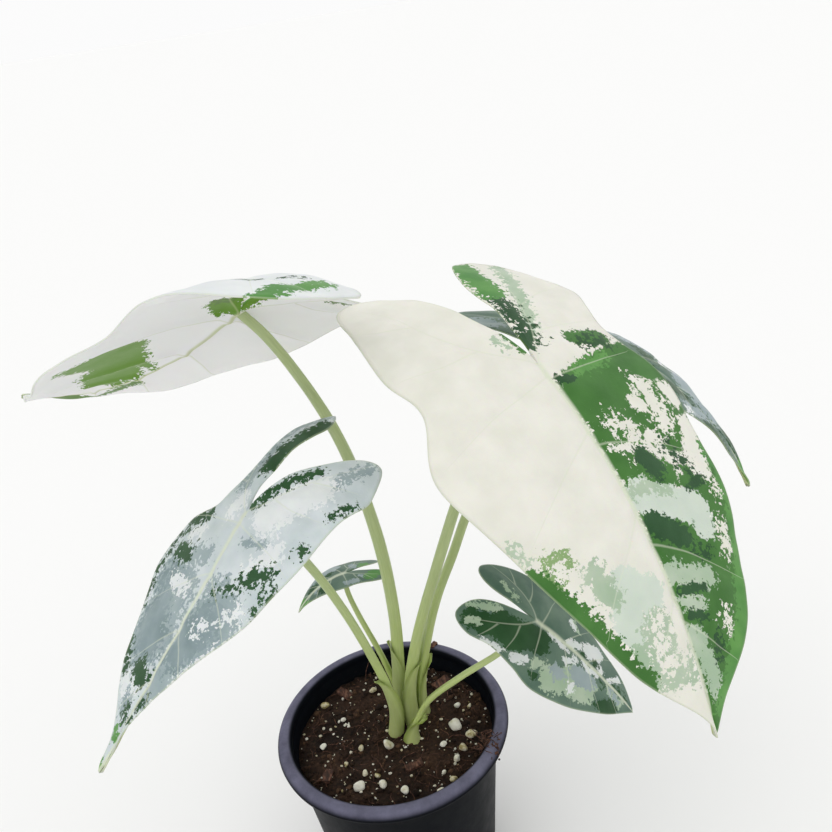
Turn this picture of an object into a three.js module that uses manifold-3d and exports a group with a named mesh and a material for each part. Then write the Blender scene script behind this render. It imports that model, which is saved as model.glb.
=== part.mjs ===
// A variegated alocasia growing in a round nursery pot.
// Millimetres, +Z up. The origin is the centre of the pot's base, on the surface it stands on.
// Pieces: pot, potting mix, corm, six stalks, six leaf blades, perlite grains and bark chips.
// Pieces that touch keep the named CLEARANCE between them.

import * as THREE from "three";
import { mergeVertices } from "three/addons/utils/BufferGeometryUtils.js";
import Module from "manifold-3d";

const wasm = await Module();
wasm.setup();

// ---- Driving dimensions -------------------------------------------------

const CLEARANCE = 0.3; // between pieces that touch

const POT_HEIGHT = 95;
const RIM_RADIUS = 54; // outside of the rolled rim
const RIM_WIDTH = 7; // from the inside of the wall to the outside of the rim
const RIM_DEPTH = 5; // how far the rolled rim hangs down
const RIM_ROUND = 2; // rounding of the rim's top edges
const BASE_RADIUS = 39; // outside, where the wall meets the base
const BASE_ROUND = 2.5;
const WALL = 1.2;
const FLOOR = 1.8;
const DRAIN_HOLES = 6;
const DRAIN_RADIUS = 4;
const DRAIN_RING = 26; // radius of the circle that the drain holes stand on

const SOIL_BELOW_RIM = 8.5; // height left free for watering
const SOIL_CROWN = 0.8; // how much the mix rises from the wall to the middle

const CORM_RADIUS = 15;
const CORM_HEIGHT = 20;
const CORM_DEPTH = 8; // from the soil surface down to the corm's flat top
const CORM_X = 8;
const CORM_Y = 4;
const FOOT_GAP = 1; // between the corm's top and the middle of a stalk's slanting foot

const RIB_THICKNESS = 1.2; // leaf blade along its midrib
const MARGIN_THICKNESS = 0.5; // leaf blade at its margin
const RIB_FADE = 14; // distance over which the blade thins from the midrib

const GRAIN_SINK = 0.2; // share of a grain's width that lies under the soil surface
const CHIP_THICKNESS = 1.6;

// ---- Mesh fineness --------------------------------------------------------

const ROUND_STEPS = 44; // around the pot and the soil
const ARC_STEPS = 4; // along a rounding of the pot's profile
const STALK_SIDES = 8;
const STALK_STEPS = 18;
const BLADE_COLUMNS = 4; // across each half of a blade
const BLADE_ROW = 6; // length of blade for each row of faces
const FEWEST_ROWS = 12;

const SOIL_LEVEL = POT_HEIGHT - SOIL_BELOW_RIM;

// ---- Leaves and stalks ----------------------------------------------------

// Half of a leaf's outline, from the tip round the shoulder and the basal lobe into the sinus, from
// where it runs straight to the stalk joint.
// Each point is [across, along] in shares of the length from the stalk to the tip.
const PLAIN_HALF = [
  [0, 1], [0.04, 0.9], [0.14, 0.7], [0.29, 0.42], [0.39, 0.16], [0.39, -0.02],
  [0.42, -0.2], [0.4, -0.38], [0.29, -0.5], [0.16, -0.42], [0.06, -0.18],
];
const LONG_LOBED_HALF = PLAIN_HALF.map(([across, along]) => [
  across,
  along < 0 ? along * 1.45 : along,
]);

// A leaf's stalk joint is at [x, y, height above the soil].
// heading: compass turn of the tip, 0 towards +Y and 90 towards +X. pitch: tip up. roll: right side down.
// droop: how far the midrib bends down from the joint to the tip, in radians over the leaf's length.
// lobes: the same for the basal lobes, where less than 0 is down.
// fold: each half's tilt up from the midrib, in degrees. curl: each half's bend down, in radians.
// foot: where the stalk stands on the corm, [x, y]. stalk: points of its centre line above the soil,
// [x, y, height above the soil]. radii: at the foot, low down and at the top.
const LEAVES = {
  upper_left: {
    at: [-26, 10, 212],
    length: 145,
    heading: 305, pitch: -35, roll: 0,
    droop: -0.58, lobes: -2.3,
    foldLeft: 22, foldRight: -37, curlLeft: 0.7, curlRight: -0.48,
    left: [
      [0, 1], [0.06, 0.91], [0.2, 0.72], [0.37, 0.44], [0.49, 0.17], [0.39, 0],
      [0.42, -0.19], [0.35, -0.37], [0.17, -0.46], [0.08, -0.375], [0.03, -0.19],
    ],
    right: [
      [0, 1], [0.025, 0.89], [0.11, 0.68], [0.21, 0.37], [0.33, 0.11], [0.42, -0.02],
      [0.46, -0.1], [0.4, -0.18], [0.3, -0.24], [0.17, -0.2], [0.06, -0.1],
    ],
    foot: [5, 10],
    stalk: [
      [6, 9, 8], [8.5, 9, 32], [10.5, 9, 56], [10.5, 10, 82], [9, 11, 104],
      [4.5, 12, 136], [-1, 12, 158], [-9, 11, 180], [-18, 10, 199],
    ],
    radii: [4, 3.2, 1.9],
  },
  large_front: {
    at: [72, -44, 189.5],
    length: 131,
    heading: 157, pitch: -33, roll: -15,
    droop: 0.6, lobes: -1.05,
    foldLeft: 5, foldRight: -9, curlLeft: 0.28, curlRight: 0.68,
    left: [
      [0, 1], [0.07, 0.92], [0.24, 0.75], [0.35, 0.44], [0.38, 0.11], [0.32, -0.08],
      [0.37, -0.24], [0.33, -0.4], [0.19, -0.54], [0.08, -0.43], [0.02, -0.18],
    ],
    right: [
      [0, 1], [0.03, 0.94], [0.19, 0.77], [0.34, 0.47], [0.43, 0.2], [0.37, 0.01],
      [0.39, -0.15], [0.36, -0.35], [0.3, -0.51], [0.18, -0.46], [0.05, -0.19],
    ],
    foot: [9.5, 3],
    stalk: [
      [10.5, 3, 18], [17.5, 1, 48], [24, -1, 68], [29, -3, 82], [36, -6, 102],
      [42, -10, 120], [51, -18, 146], [60, -28, 168],
    ],
    radii: [3.4, 2.6, 2],
  },
  lower_left: {
    at: [-36.5, -35, 151.5],
    length: 98,
    heading: 237, pitch: -40, roll: 22,
    droop: 0, lobes: -1.7,
    foldLeft: -18, foldRight: 12, curlLeft: 0.6, curlRight: 0,
    left: [
      [0, 1], [0.01, 0.89], [0.08, 0.67], [0.25, 0.4], [0.36, 0.15], [0.4, -0.02],
      [0.42, -0.19], [0.42, -0.36], [0.31, -0.5], [0.2, -0.43], [0.07, -0.18],
    ],
    right: [
      [0, 1], [0.05, 0.89], [0.21, 0.72], [0.37, 0.44], [0.37, 0.16], [0.18, 0],
      [0.16, -0.22], [0.22, -0.42], [0.22, -0.53], [0.09, -0.44], [0.02, -0.2],
    ],
    foot: [0, 0],
    stalk: [
      [2, -1, 10], [1, -3, 28], [-1.5, -4, 42], [-8, -9, 72], [-14, -13, 94],
      [-19.5, -17, 111], [-26, -24, 130],
    ],
    radii: [3.6, 2, 1.7],
  },
  small_right: {
    at: [65, -35, 74.5],
    length: 58,
    heading: 118, pitch: -42, roll: 11,
    droop: 0.32, lobes: -0.73,
    foldLeft: -7, foldRight: -2, curlLeft: 0.77, curlRight: 0.51,
    left: [
      [0, 1], [0.07, 0.92], [0.19, 0.73], [0.31, 0.43], [0.4, 0.16], [0.38, -0.02],
      [0.38, -0.19], [0.34, -0.37], [0.2, -0.53], [0.07, -0.46], [0.01, -0.22],
    ],
    right: [
      [0, 1], [0.07, 0.92], [0.22, 0.74], [0.38, 0.45], [0.45, 0.17], [0.41, -0.03],
      [0.37, -0.21], [0.37, -0.41], [0.27, -0.54], [0.11, -0.45], [0.03, -0.2],
    ],
    foot: [7, -7],
    stalk: [
      [9, -7.5, 6], [12, -8, 13], [18, -11, 24], [32, -18, 39], [48, -26, 54],
      [57, -31, 64],
    ],
    radii: [3.8, 1.5, 1.3],
  },
  small_back: {
    at: [-8, 35, 68.5],
    length: 29,
    heading: 252, pitch: 6, roll: 8,
    droop: 0.9, lobes: -0.4,
    foldLeft: -2, foldRight: 1, curlLeft: 0.5, curlRight: 0.6,
    left: LONG_LOBED_HALF,
    right: LONG_LOBED_HALF,
    foot: [10, 15],
    stalk: [
      [6, 17, 6], [1, 20, 29], [-6, 28, 50], [-8.5, 32, 60],
    ],
    radii: [2.1, 1.5, 1.2],
  },
  right_back: {
    at: [113, 31, 167.5],
    length: 99,
    heading: 124, pitch: -20, roll: -12,
    droop: 0.82, lobes: -0.42,
    foldLeft: -2, foldRight: 4, curlLeft: 0.57, curlRight: 0.42,
    left: PLAIN_HALF,
    right: PLAIN_HALF,
    foot: [16, 8],
    stalk: [
      [16, 8, 14], [23, 10, 40], [31, 11, 62], [41, 14, 80], [50, 16, 98],
      [70, 21, 129], [94, 27, 154],
    ],
    radii: [2.9, 2.3, 1.8],
  },
};

// Grains of perlite on the soil: [x, y] in shares of the soil's radius, and the width.
const GRAINS = [
  [0.61, -0.13, 6], [-0.09, -0.2, 5], [-0.67, 0.57, 3.2], [-0.73, 0, 3.4],
  [-0.36, -0.14, 3.4], [-0.53, -0.3, 3], [-0.36, -0.46, 3], [-0.25, -0.52, 3],
  [-0.43, -0.6, 4.2], [-0.21, -0.65, 4.6], [-0.01, -0.77, 4], [0.39, -0.67, 3.2],
  [0.46, -0.78, 4], [0.31, -0.86, 3], [0.75, -0.29, 4.2], [0.63, -0.43, 3.6],
  [0.45, -0.34, 3.2], [0.54, -0.55, 4], [0.69, 0.12, 3.4], [0.81, 0.08, 3.4],
  [-0.14, 0.62, 3], [0.42, 0.6, 3.2], [-0.5, 0.3, 2.8], [0.2, 0.84, 3.4],
];

// Chips of bark: [x, y] in shares of the soil's radius, length, width and turn in degrees.
const CHIPS = [
  [0.6, 0.5, 9, 5, 30],
  [-0.45, 0.68, 8, 4, -50],
  [-0.72, -0.38, 7, 4, 70],
  [0.12, -0.5, 8, 4, 15],
];

// ---- Colours --------------------------------------------------------------

const POT_PLASTIC = { color: "#2b2c33", roughness: 0.45, metalness: 0 };
const SOIL_MIX = { color: "#2a1f18", roughness: 0.95, metalness: 0 };
const CORM_SKIN = { color: "#6d5b3c", roughness: 0.8, metalness: 0 };
const STALK_GREEN = { color: "#8d9c5e", roughness: 0.45, metalness: 0 };
const PERLITE_WHITE = { color: "#e9e5da", roughness: 0.9, metalness: 0 };
const BARK_BROWN = { color: "#4a3122", roughness: 0.9, metalness: 0 };
const BLADE_COLOURS = {
  upper_left: "#d9d7d6",
  large_front: "#cfd2c6",
  lower_left: "#98a5a7",
  small_right: "#4d665a",
  small_back: "#637a67",
  right_back: "#6f8078",
};

// ---- Helpers --------------------------------------------------------------

const mix = THREE.MathUtils.lerp;
const radians = THREE.MathUtils.degToRad;

// The closed surface of a geometry: shared vertices merged, collapsed triangles left out.
function closedSurface(geometry) {
  geometry.deleteAttribute("normal");
  geometry.deleteAttribute("uv");
  const merged = mergeVertices(geometry, 1e-3);
  const corners = merged.index.array;
  const kept = [];
  for (let i = 0; i < corners.length; i += 3) {
    const [a, b, c] = corners.slice(i, i + 3);
    if (a !== b && b !== c && c !== a) kept.push(a, b, c);
  }
  merged.setIndex(kept);
  return merged;
}

// A closed geometry as a solid that can be cut and joined.
function solidFrom(geometry) {
  const surface = closedSurface(geometry);
  return new wasm.Manifold(
    new wasm.Mesh({
      numProp: 3,
      vertProperties: new Float32Array(surface.attributes.position.array),
      triVerts: new Uint32Array(surface.index.array),
    }),
  );
}

function geometryFrom(solid) {
  const mesh = solid.getMesh();
  const geometry = new THREE.BufferGeometry();
  geometry.setAttribute("position", new THREE.BufferAttribute(mesh.vertProperties, 3));
  geometry.setIndex(new THREE.BufferAttribute(mesh.triVerts, 1));
  return geometry;
}

function piece(name, geometry, finish) {
  const surface = geometry.index ? geometry : closedSurface(geometry);
  surface.computeVertexNormals();
  const mesh = new THREE.Mesh(surface, new THREE.MeshStandardMaterial(finish));
  mesh.name = name;
  return mesh;
}

// Moves each vertex of a geometry to where the given function puts it.
function reshape(geometry, put) {
  const positions = geometry.attributes.position;
  const vertex = new THREE.Vector3();
  for (let i = 0; i < positions.count; i += 1) {
    vertex.fromBufferAttribute(positions, i);
    const moved = put(vertex);
    positions.setXYZ(i, moved.x, moved.y, moved.z);
  }
  return geometry;
}

// A turned body about the Z axis from a profile of [radius, height] points.
function turned(profile) {
  const lathe = new THREE.LatheGeometry(profile, ROUND_STEPS);
  return lathe.rotateX(Math.PI / 2);
}

// ---- Pot ------------------------------------------------------------------

function wallInside(height) {
  const bottom = BASE_RADIUS - WALL;
  const top = RIM_RADIUS - RIM_WIDTH;
  return mix(bottom, top, height / POT_HEIGHT);
}

function potProfile() {
  const rimBottom = POT_HEIGHT - RIM_DEPTH;
  const rimInside = RIM_RADIUS - RIM_WIDTH;
  const path = new THREE.Path();
  path.moveTo(0, 0);
  path.lineTo(BASE_RADIUS - BASE_ROUND, 0);
  path.absarc(BASE_RADIUS - BASE_ROUND, BASE_ROUND, BASE_ROUND, -Math.PI / 2, 0, false);
  path.lineTo(wallInside(rimBottom) + WALL, rimBottom);
  path.lineTo(RIM_RADIUS - RIM_ROUND / 2, rimBottom);
  path.lineTo(RIM_RADIUS, rimBottom + RIM_ROUND / 2);
  path.absarc(RIM_RADIUS - RIM_ROUND, POT_HEIGHT - RIM_ROUND, RIM_ROUND, 0, Math.PI / 2, false);
  path.absarc(
    rimInside + RIM_ROUND, POT_HEIGHT - RIM_ROUND, RIM_ROUND, Math.PI / 2, Math.PI, false,
  );
  path.lineTo(wallInside(FLOOR), FLOOR);
  path.lineTo(0, FLOOR);
  return path.getPoints(ARC_STEPS);
}

function pot() {
  let body = solidFrom(turned(potProfile()));
  for (let i = 0; i < DRAIN_HOLES; i += 1) {
    const turn = ((i + 0.5) / DRAIN_HOLES) * 2 * Math.PI;
    const hole = new THREE.CylinderGeometry(DRAIN_RADIUS, DRAIN_RADIUS, 4 * FLOOR, 16);
    hole.rotateX(Math.PI / 2);
    hole.translate(DRAIN_RING * Math.cos(turn), DRAIN_RING * Math.sin(turn), FLOOR / 2);
    body = body.subtract(solidFrom(hole));
  }
  return geometryFrom(body);
}

// ---- Stalks ---------------------------------------------------------------

function leafTurn(leaf) {
  return new THREE.Euler(radians(leaf.pitch), radians(leaf.roll), -radians(leaf.heading), "ZXY");
}

// A leaf's joint with its stalk, in the part's frame.
function joint(leaf) {
  const [x, y, height] = leaf.at;
  return new THREE.Vector3(x, y, SOIL_LEVEL + height);
}

// The stalk's centre line stops under the blade, clear of its steeper half.
function stalkLine(leaf) {
  const places = [[...leaf.foot, FOOT_GAP - CORM_DEPTH], ...leaf.stalk];
  const points = places.map(([x, y, height]) => new THREE.Vector3(x, y, SOIL_LEVEL + height));
  const topRadius = leaf.radii[2];
  const steepest = Math.max(Math.abs(leaf.foldLeft), Math.abs(leaf.foldRight));
  const gap = (RIB_THICKNESS / 2 + CLEARANCE + topRadius) / Math.cos(radians(steepest));
  const under = new THREE.Vector3(0, 0, -gap);
  points.push(joint(leaf).add(under.applyEuler(leafTurn(leaf))));
  return new THREE.CatmullRomCurve3(points, false, "centripetal");
}

const FOOT_SHARE = 0.16; // share of a stalk's length where its swollen foot ends

function stalkRadius(leaf, share) {
  const [foot, low, top] = leaf.radii;
  if (share < FOOT_SHARE) {
    return mix(foot, low, THREE.MathUtils.smoothstep(share, 0, FOOT_SHARE));
  }
  return mix(low, top, (share - FOOT_SHARE) / (1 - FOOT_SHARE));
}

// A cylinder bent along the stalk's centre line. room widens and lengthens it, to cut its socket.
function stalk(leaf, room = 0) {
  const line = stalkLine(leaf);
  const tube = new THREE.CylinderGeometry(1, 1, 1, STALK_SIDES, STALK_STEPS);
  return reshape(tube, (vertex) => {
    const share = vertex.y + 0.5;
    const middle = line.getPointAt(share);
    const along = line.getTangentAt(share);
    const side = new THREE.Vector3(0, 1, 0).cross(along).normalize();
    const front = along.clone().cross(side);
    const radius = stalkRadius(leaf, share) + room;
    const isFoot = share === 0;
    middle.addScaledVector(along, isFoot ? -room : 0);
    middle.addScaledVector(side, vertex.x * radius);
    return middle.addScaledVector(front, -vertex.z * radius);
  });
}

// ---- Leaf blades ----------------------------------------------------------

// A point on a smooth line through the outline's points; step counts points from the tip.
// The line runs straight out of the tip, and heads for the stalk joint where it ends.
function outlinePoint(points, step) {
  const last = points.length - 1;
  const i = Math.min(Math.floor(step), last - 1);
  const share = step - i;
  const beforeTip = [-points[1][0], 2 - points[1][1]];
  const stalkJoint = [0, 0];
  const line = [beforeTip, ...points, stalkJoint];
  const [before, from, to, after] = line.slice(i, i + 4);
  return [0, 1].map((axis) => {
    const p = [before[axis], from[axis], to[axis], after[axis]];
    const a = 2 * p[0] - 5 * p[1] + 4 * p[2] - p[3];
    const b = 3 * p[1] - p[0] - 3 * p[2] + p[3];
    return 0.5 * (2 * p[1] + (p[2] - p[0]) * share + a * share ** 2 + b * share ** 3);
  });
}

// Where a line that starts at an angle and bends at a constant rate gets to: [along, up].
function bentLine(startAngle, rate, distance) {
  const steady = Math.abs(rate) < 1e-6 ? 1e-6 : rate;
  const endAngle = startAngle + steady * distance;
  return [
    (Math.sin(endAngle) - Math.sin(startAngle)) / steady,
    (Math.cos(startAngle) - Math.cos(endAngle)) / steady,
  ];
}

// The place of a flat point of the blade once the blade has bent, in the leaf's own frame.
function bent(leaf, across, along) {
  const rate = (along >= 0 ? -leaf.droop : leaf.lobes) / leaf.length;
  const [ribAlong, ribUp] = bentLine(0, rate, along);
  const tilt = rate * along;
  const fold = across >= 0 ? leaf.foldRight : leaf.foldLeft;
  const curl = across >= 0 ? leaf.curlRight : leaf.curlLeft;
  const [out, up] = bentLine(radians(fold), -curl / leaf.length, Math.abs(across));
  return new THREE.Vector3(
    Math.sign(across) * out,
    ribAlong - Math.sin(tilt) * up,
    ribUp + Math.cos(tilt) * up,
  );
}

// Square to the blade. Off the midrib it takes in its own half only.
function bladeNormal(leaf, across, along) {
  const reach = 0.5;
  const aside = across === 0 ? reach : Math.min(reach, Math.abs(across) / 2);
  const right = bent(leaf, across + aside, along).sub(bent(leaf, across - aside, along));
  const forward = bent(leaf, across, along + reach).sub(bent(leaf, across, along - reach));
  return right.cross(forward).normalize();
}

const SHOULDER_STEP = 4.3; // the outline step across from the stalk joint

// Splits the squares of a box's underside along the same diagonals as those of its top.
function matchUnderside(box) {
  const underside = box.groups[5];
  const corners = box.index.array;
  for (let i = underside.start; i < underside.start + underside.count; i += 6) {
    const [a, b, d, , c] = corners.slice(i, i + 6);
    corners.set([a, b, c, a, c, d], i);
  }
}

// A slab with a grid of faces. Its rows run from the midrib to the margin and fan over the lobes.
function blade(leaf) {
  const rows = Math.max(FEWEST_ROWS, Math.round(leaf.length / BLADE_ROW));
  const slab = new THREE.BoxGeometry(2, 1, 1, 2 * BLADE_COLUMNS, rows, 1);
  matchUnderside(slab);
  return reshape(slab, (vertex) => {
    const half = vertex.x < 0 ? leaf.left : leaf.right;
    const step = (0.5 - vertex.y) * (half.length - 1);
    const [marginAcross, marginAlong] = outlinePoint(half, step);
    const rootAlong = Math.max(0, 1 - step / SHOULDER_STEP);
    const reach = Math.abs(vertex.x);
    const across = Math.sign(vertex.x) * reach * marginAcross * leaf.length;
    const along = mix(rootAlong, marginAlong, reach) * leaf.length;
    const fromRib = reach * Math.hypot(marginAcross, marginAlong - rootAlong) * leaf.length;
    const thinning = Math.exp(-((fromRib / RIB_FADE) ** 2));
    const thickness = mix(MARGIN_THICKNESS, RIB_THICKNESS, thinning);
    const lift = bladeNormal(leaf, across, along).multiplyScalar(vertex.z * thickness);
    return bent(leaf, across, along).add(lift);
  });
}

// ---- Corm, grains and chips -----------------------------------------------

// A squat bulb with a flat top, under the stalks. room widens it, to cut its hollow in the soil.
function corm(room = 0) {
  const radius = CORM_RADIUS + room;
  const low = -CORM_HEIGHT - room;
  const high = room;
  const profile = new THREE.Path();
  profile.moveTo(0, low);
  profile.quadraticCurveTo(radius, low, radius, (low + high) / 2);
  profile.quadraticCurveTo(radius, high, radius * 0.9, high);
  profile.lineTo(0, high);
  const lathe = new THREE.LatheGeometry(profile.getPoints(ARC_STEPS), 20);
  lathe.rotateX(Math.PI / 2);
  return lathe.translate(CORM_X, CORM_Y, SOIL_LEVEL - CORM_DEPTH);
}

function soilRadius() {
  return wallInside(SOIL_LEVEL) - CLEARANCE;
}

// Height of the soil surface at a distance from the middle.
function soilTop(distance) {
  const share = Math.min(1, distance / soilRadius());
  return SOIL_LEVEL - SOIL_CROWN * share ** 2;
}

function grain([x, y, width], i, room = 0) {
  const cx = x * soilRadius();
  const cy = y * soilRadius();
  const cz = soilTop(Math.hypot(cx, cy)) + width * (0.5 - GRAIN_SINK) * 0.8;
  const ball = new THREE.IcosahedronGeometry(1, 1);
  const radius = width / 2;
  return reshape(ball, (vertex) => {
    const lumps = 1 + 0.1 * Math.sin(3 * vertex.x + i) * Math.cos(2.5 * vertex.y - 2 * i);
    const reach = radius * lumps + room;
    return new THREE.Vector3(
      cx + reach * vertex.x * (1 + 0.12 * Math.sin(i)),
      cy + reach * vertex.y,
      cz + reach * vertex.z * 0.8,
    );
  });
}

function chip([x, y, length, width, turn], i, room = 0) {
  const cx = x * soilRadius();
  const cy = y * soilRadius();
  const slab = new THREE.BoxGeometry(
    length + 2 * room, width + 2 * room, CHIP_THICKNESS + 2 * room, 3, 1, 1,
  );
  reshape(slab, (vertex) => {
    const taper = 1 - 0.25 * Math.abs(vertex.x / length);
    return new THREE.Vector3(
      vertex.x,
      vertex.y * taper,
      vertex.z + 0.4 * Math.cos((2 * vertex.x) / length + i),
    );
  });
  slab.rotateZ(radians(turn));
  return slab.translate(cx, cy, soilTop(Math.hypot(cx, cy)) + CHIP_THICKNESS * 0.4);
}

// ---- Potting mix ----------------------------------------------------------

// The mix fills the pot, with a socket for each thing that is set in it.
function soil() {
  const profile = [new THREE.Vector2(0, FLOOR + CLEARANCE)];
  profile.push(new THREE.Vector2(wallInside(FLOOR) - CLEARANCE, FLOOR + CLEARANCE));
  const rings = 4;
  for (let i = 0; i <= rings; i += 1) {
    const distance = soilRadius() * (1 - i / rings);
    profile.push(new THREE.Vector2(distance, soilTop(distance)));
  }
  let body = solidFrom(turned(profile));
  const sockets = [corm(CLEARANCE)];
  sockets.push(...Object.values(LEAVES).map((leaf) => stalk(leaf, CLEARANCE)));
  sockets.push(...GRAINS.map((spec, i) => grain(spec, i, CLEARANCE)));
  sockets.push(...CHIPS.map((spec, i) => chip(spec, i, CLEARANCE)));
  for (const socket of sockets) {
    body = body.subtract(solidFrom(socket));
  }
  return geometryFrom(body);
}

// ---- The plant in its pot -------------------------------------------------

const plant = new THREE.Group();
plant.add(piece("pot", pot(), POT_PLASTIC));
plant.add(piece("soil", soil(), SOIL_MIX));
plant.add(piece("corm", closedSurface(corm()), CORM_SKIN));

for (const [name, leaf] of Object.entries(LEAVES)) {
  plant.add(piece(`stalk_${name}`, closedSurface(stalk(leaf)), STALK_GREEN));
  const finish = { color: BLADE_COLOURS[name], roughness: 0.4, metalness: 0 };
  const leafBlade = piece(`leaf_${name}`, closedSurface(blade(leaf)), finish);
  leafBlade.position.copy(joint(leaf));
  leafBlade.rotation.copy(leafTurn(leaf));
  plant.add(leafBlade);
}

GRAINS.forEach((spec, i) => {
  const number = String(i + 1).padStart(2, "0");
  plant.add(piece(`perlite_${number}`, closedSurface(grain(spec, i)), PERLITE_WHITE));
});

CHIPS.forEach((spec, i) => {
  plant.add(piece(`bark_chip_${i + 1}`, closedSurface(chip(spec, i)), BARK_BROWN));
});

export default plant;
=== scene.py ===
import math
import random

import bmesh
import bpy
import numpy as np
from mathutils import Matrix, Vector, noise


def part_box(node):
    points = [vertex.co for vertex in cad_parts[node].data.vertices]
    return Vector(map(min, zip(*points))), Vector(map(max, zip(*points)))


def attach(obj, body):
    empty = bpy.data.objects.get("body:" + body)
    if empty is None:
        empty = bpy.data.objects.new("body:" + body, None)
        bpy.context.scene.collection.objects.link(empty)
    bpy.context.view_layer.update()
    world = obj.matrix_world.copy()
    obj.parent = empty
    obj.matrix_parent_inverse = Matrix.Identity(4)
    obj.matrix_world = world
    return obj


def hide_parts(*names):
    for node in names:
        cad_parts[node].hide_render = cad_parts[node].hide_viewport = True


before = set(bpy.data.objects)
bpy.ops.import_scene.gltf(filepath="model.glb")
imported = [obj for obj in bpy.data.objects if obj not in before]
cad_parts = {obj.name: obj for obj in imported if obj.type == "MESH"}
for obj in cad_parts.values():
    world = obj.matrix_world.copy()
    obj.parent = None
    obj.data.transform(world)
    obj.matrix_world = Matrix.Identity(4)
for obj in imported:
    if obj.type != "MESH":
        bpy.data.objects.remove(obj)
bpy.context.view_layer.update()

# A variegated alocasia in a nursery pot. Metres, +Z up. The tables of leaves are in millimetres
# and in hundredths of a blade's length, and the blades' own code works in millimetres.
MM = 0.001

RIM_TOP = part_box("pot")[1].z
RIM_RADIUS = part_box("pot")[1].x
RIM_WIDTH = 7 * MM
RIM_DEPTH = 5 * MM
RIM_ROUND = 2 * MM
BASE_RADIUS = 39 * MM
BASE_ROUND = 2.5 * MM
WALL = 1.2 * MM
FLOOR = 1.8 * MM
DRAIN_HOLES = 6
DRAIN_RADIUS = 4 * MM
DRAIN_RING = 26 * MM
SOIL_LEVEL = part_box("soil")[1].z
SOIL_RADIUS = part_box("soil")[1].x
SOIL_CROWN = 0.8 * MM
SOIL_TOP = SOIL_LEVEL / MM  # in millimetres, for the leaves' code

# ---- Leaves ---------------------------------------------------------------

# A half of a flat blade, from its tip round to the sinus: (across, along) in hundredths of its
# length, with the stalk's joint at (0, 0) and the tip at (0, 100).
HUNDREDTHS = 100
PLAIN_HALF = [
    (0, 100), (4, 90), (14, 70), (29, 42), (39, 16), (39, -2), (42, -20), (40, -38), (29, -50),
    (16, -42), (6, -18),
]
LOBE_STRETCH = 1.45
LONG_LOBED_HALF = [(x, y if y >= 0 else LOBE_STRETCH * y) for x, y in PLAIN_HALF]

# Side veins of a half blade, in the same hundredths: laterals, then the rib of the lobe.
PLAIN_VEINS = [
    [(0, 4), (12, 6), (24, 8), (37, 12)],
    [(0, 24), (10, 30), (20, 37), (30, 45)],
    [(0, 46), (8, 53), (15, 60), (22, 69)],
    [(0, 66), (5, 72), (9, 78), (13, 85)],
    [(0, 0), (10, -9), (18, -22), (24, -36), (27, -47)],
    [(12, -10), (22, -10), (36, -13)],
    [(19, -24), (27, -28), (36, -34)],
]

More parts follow.
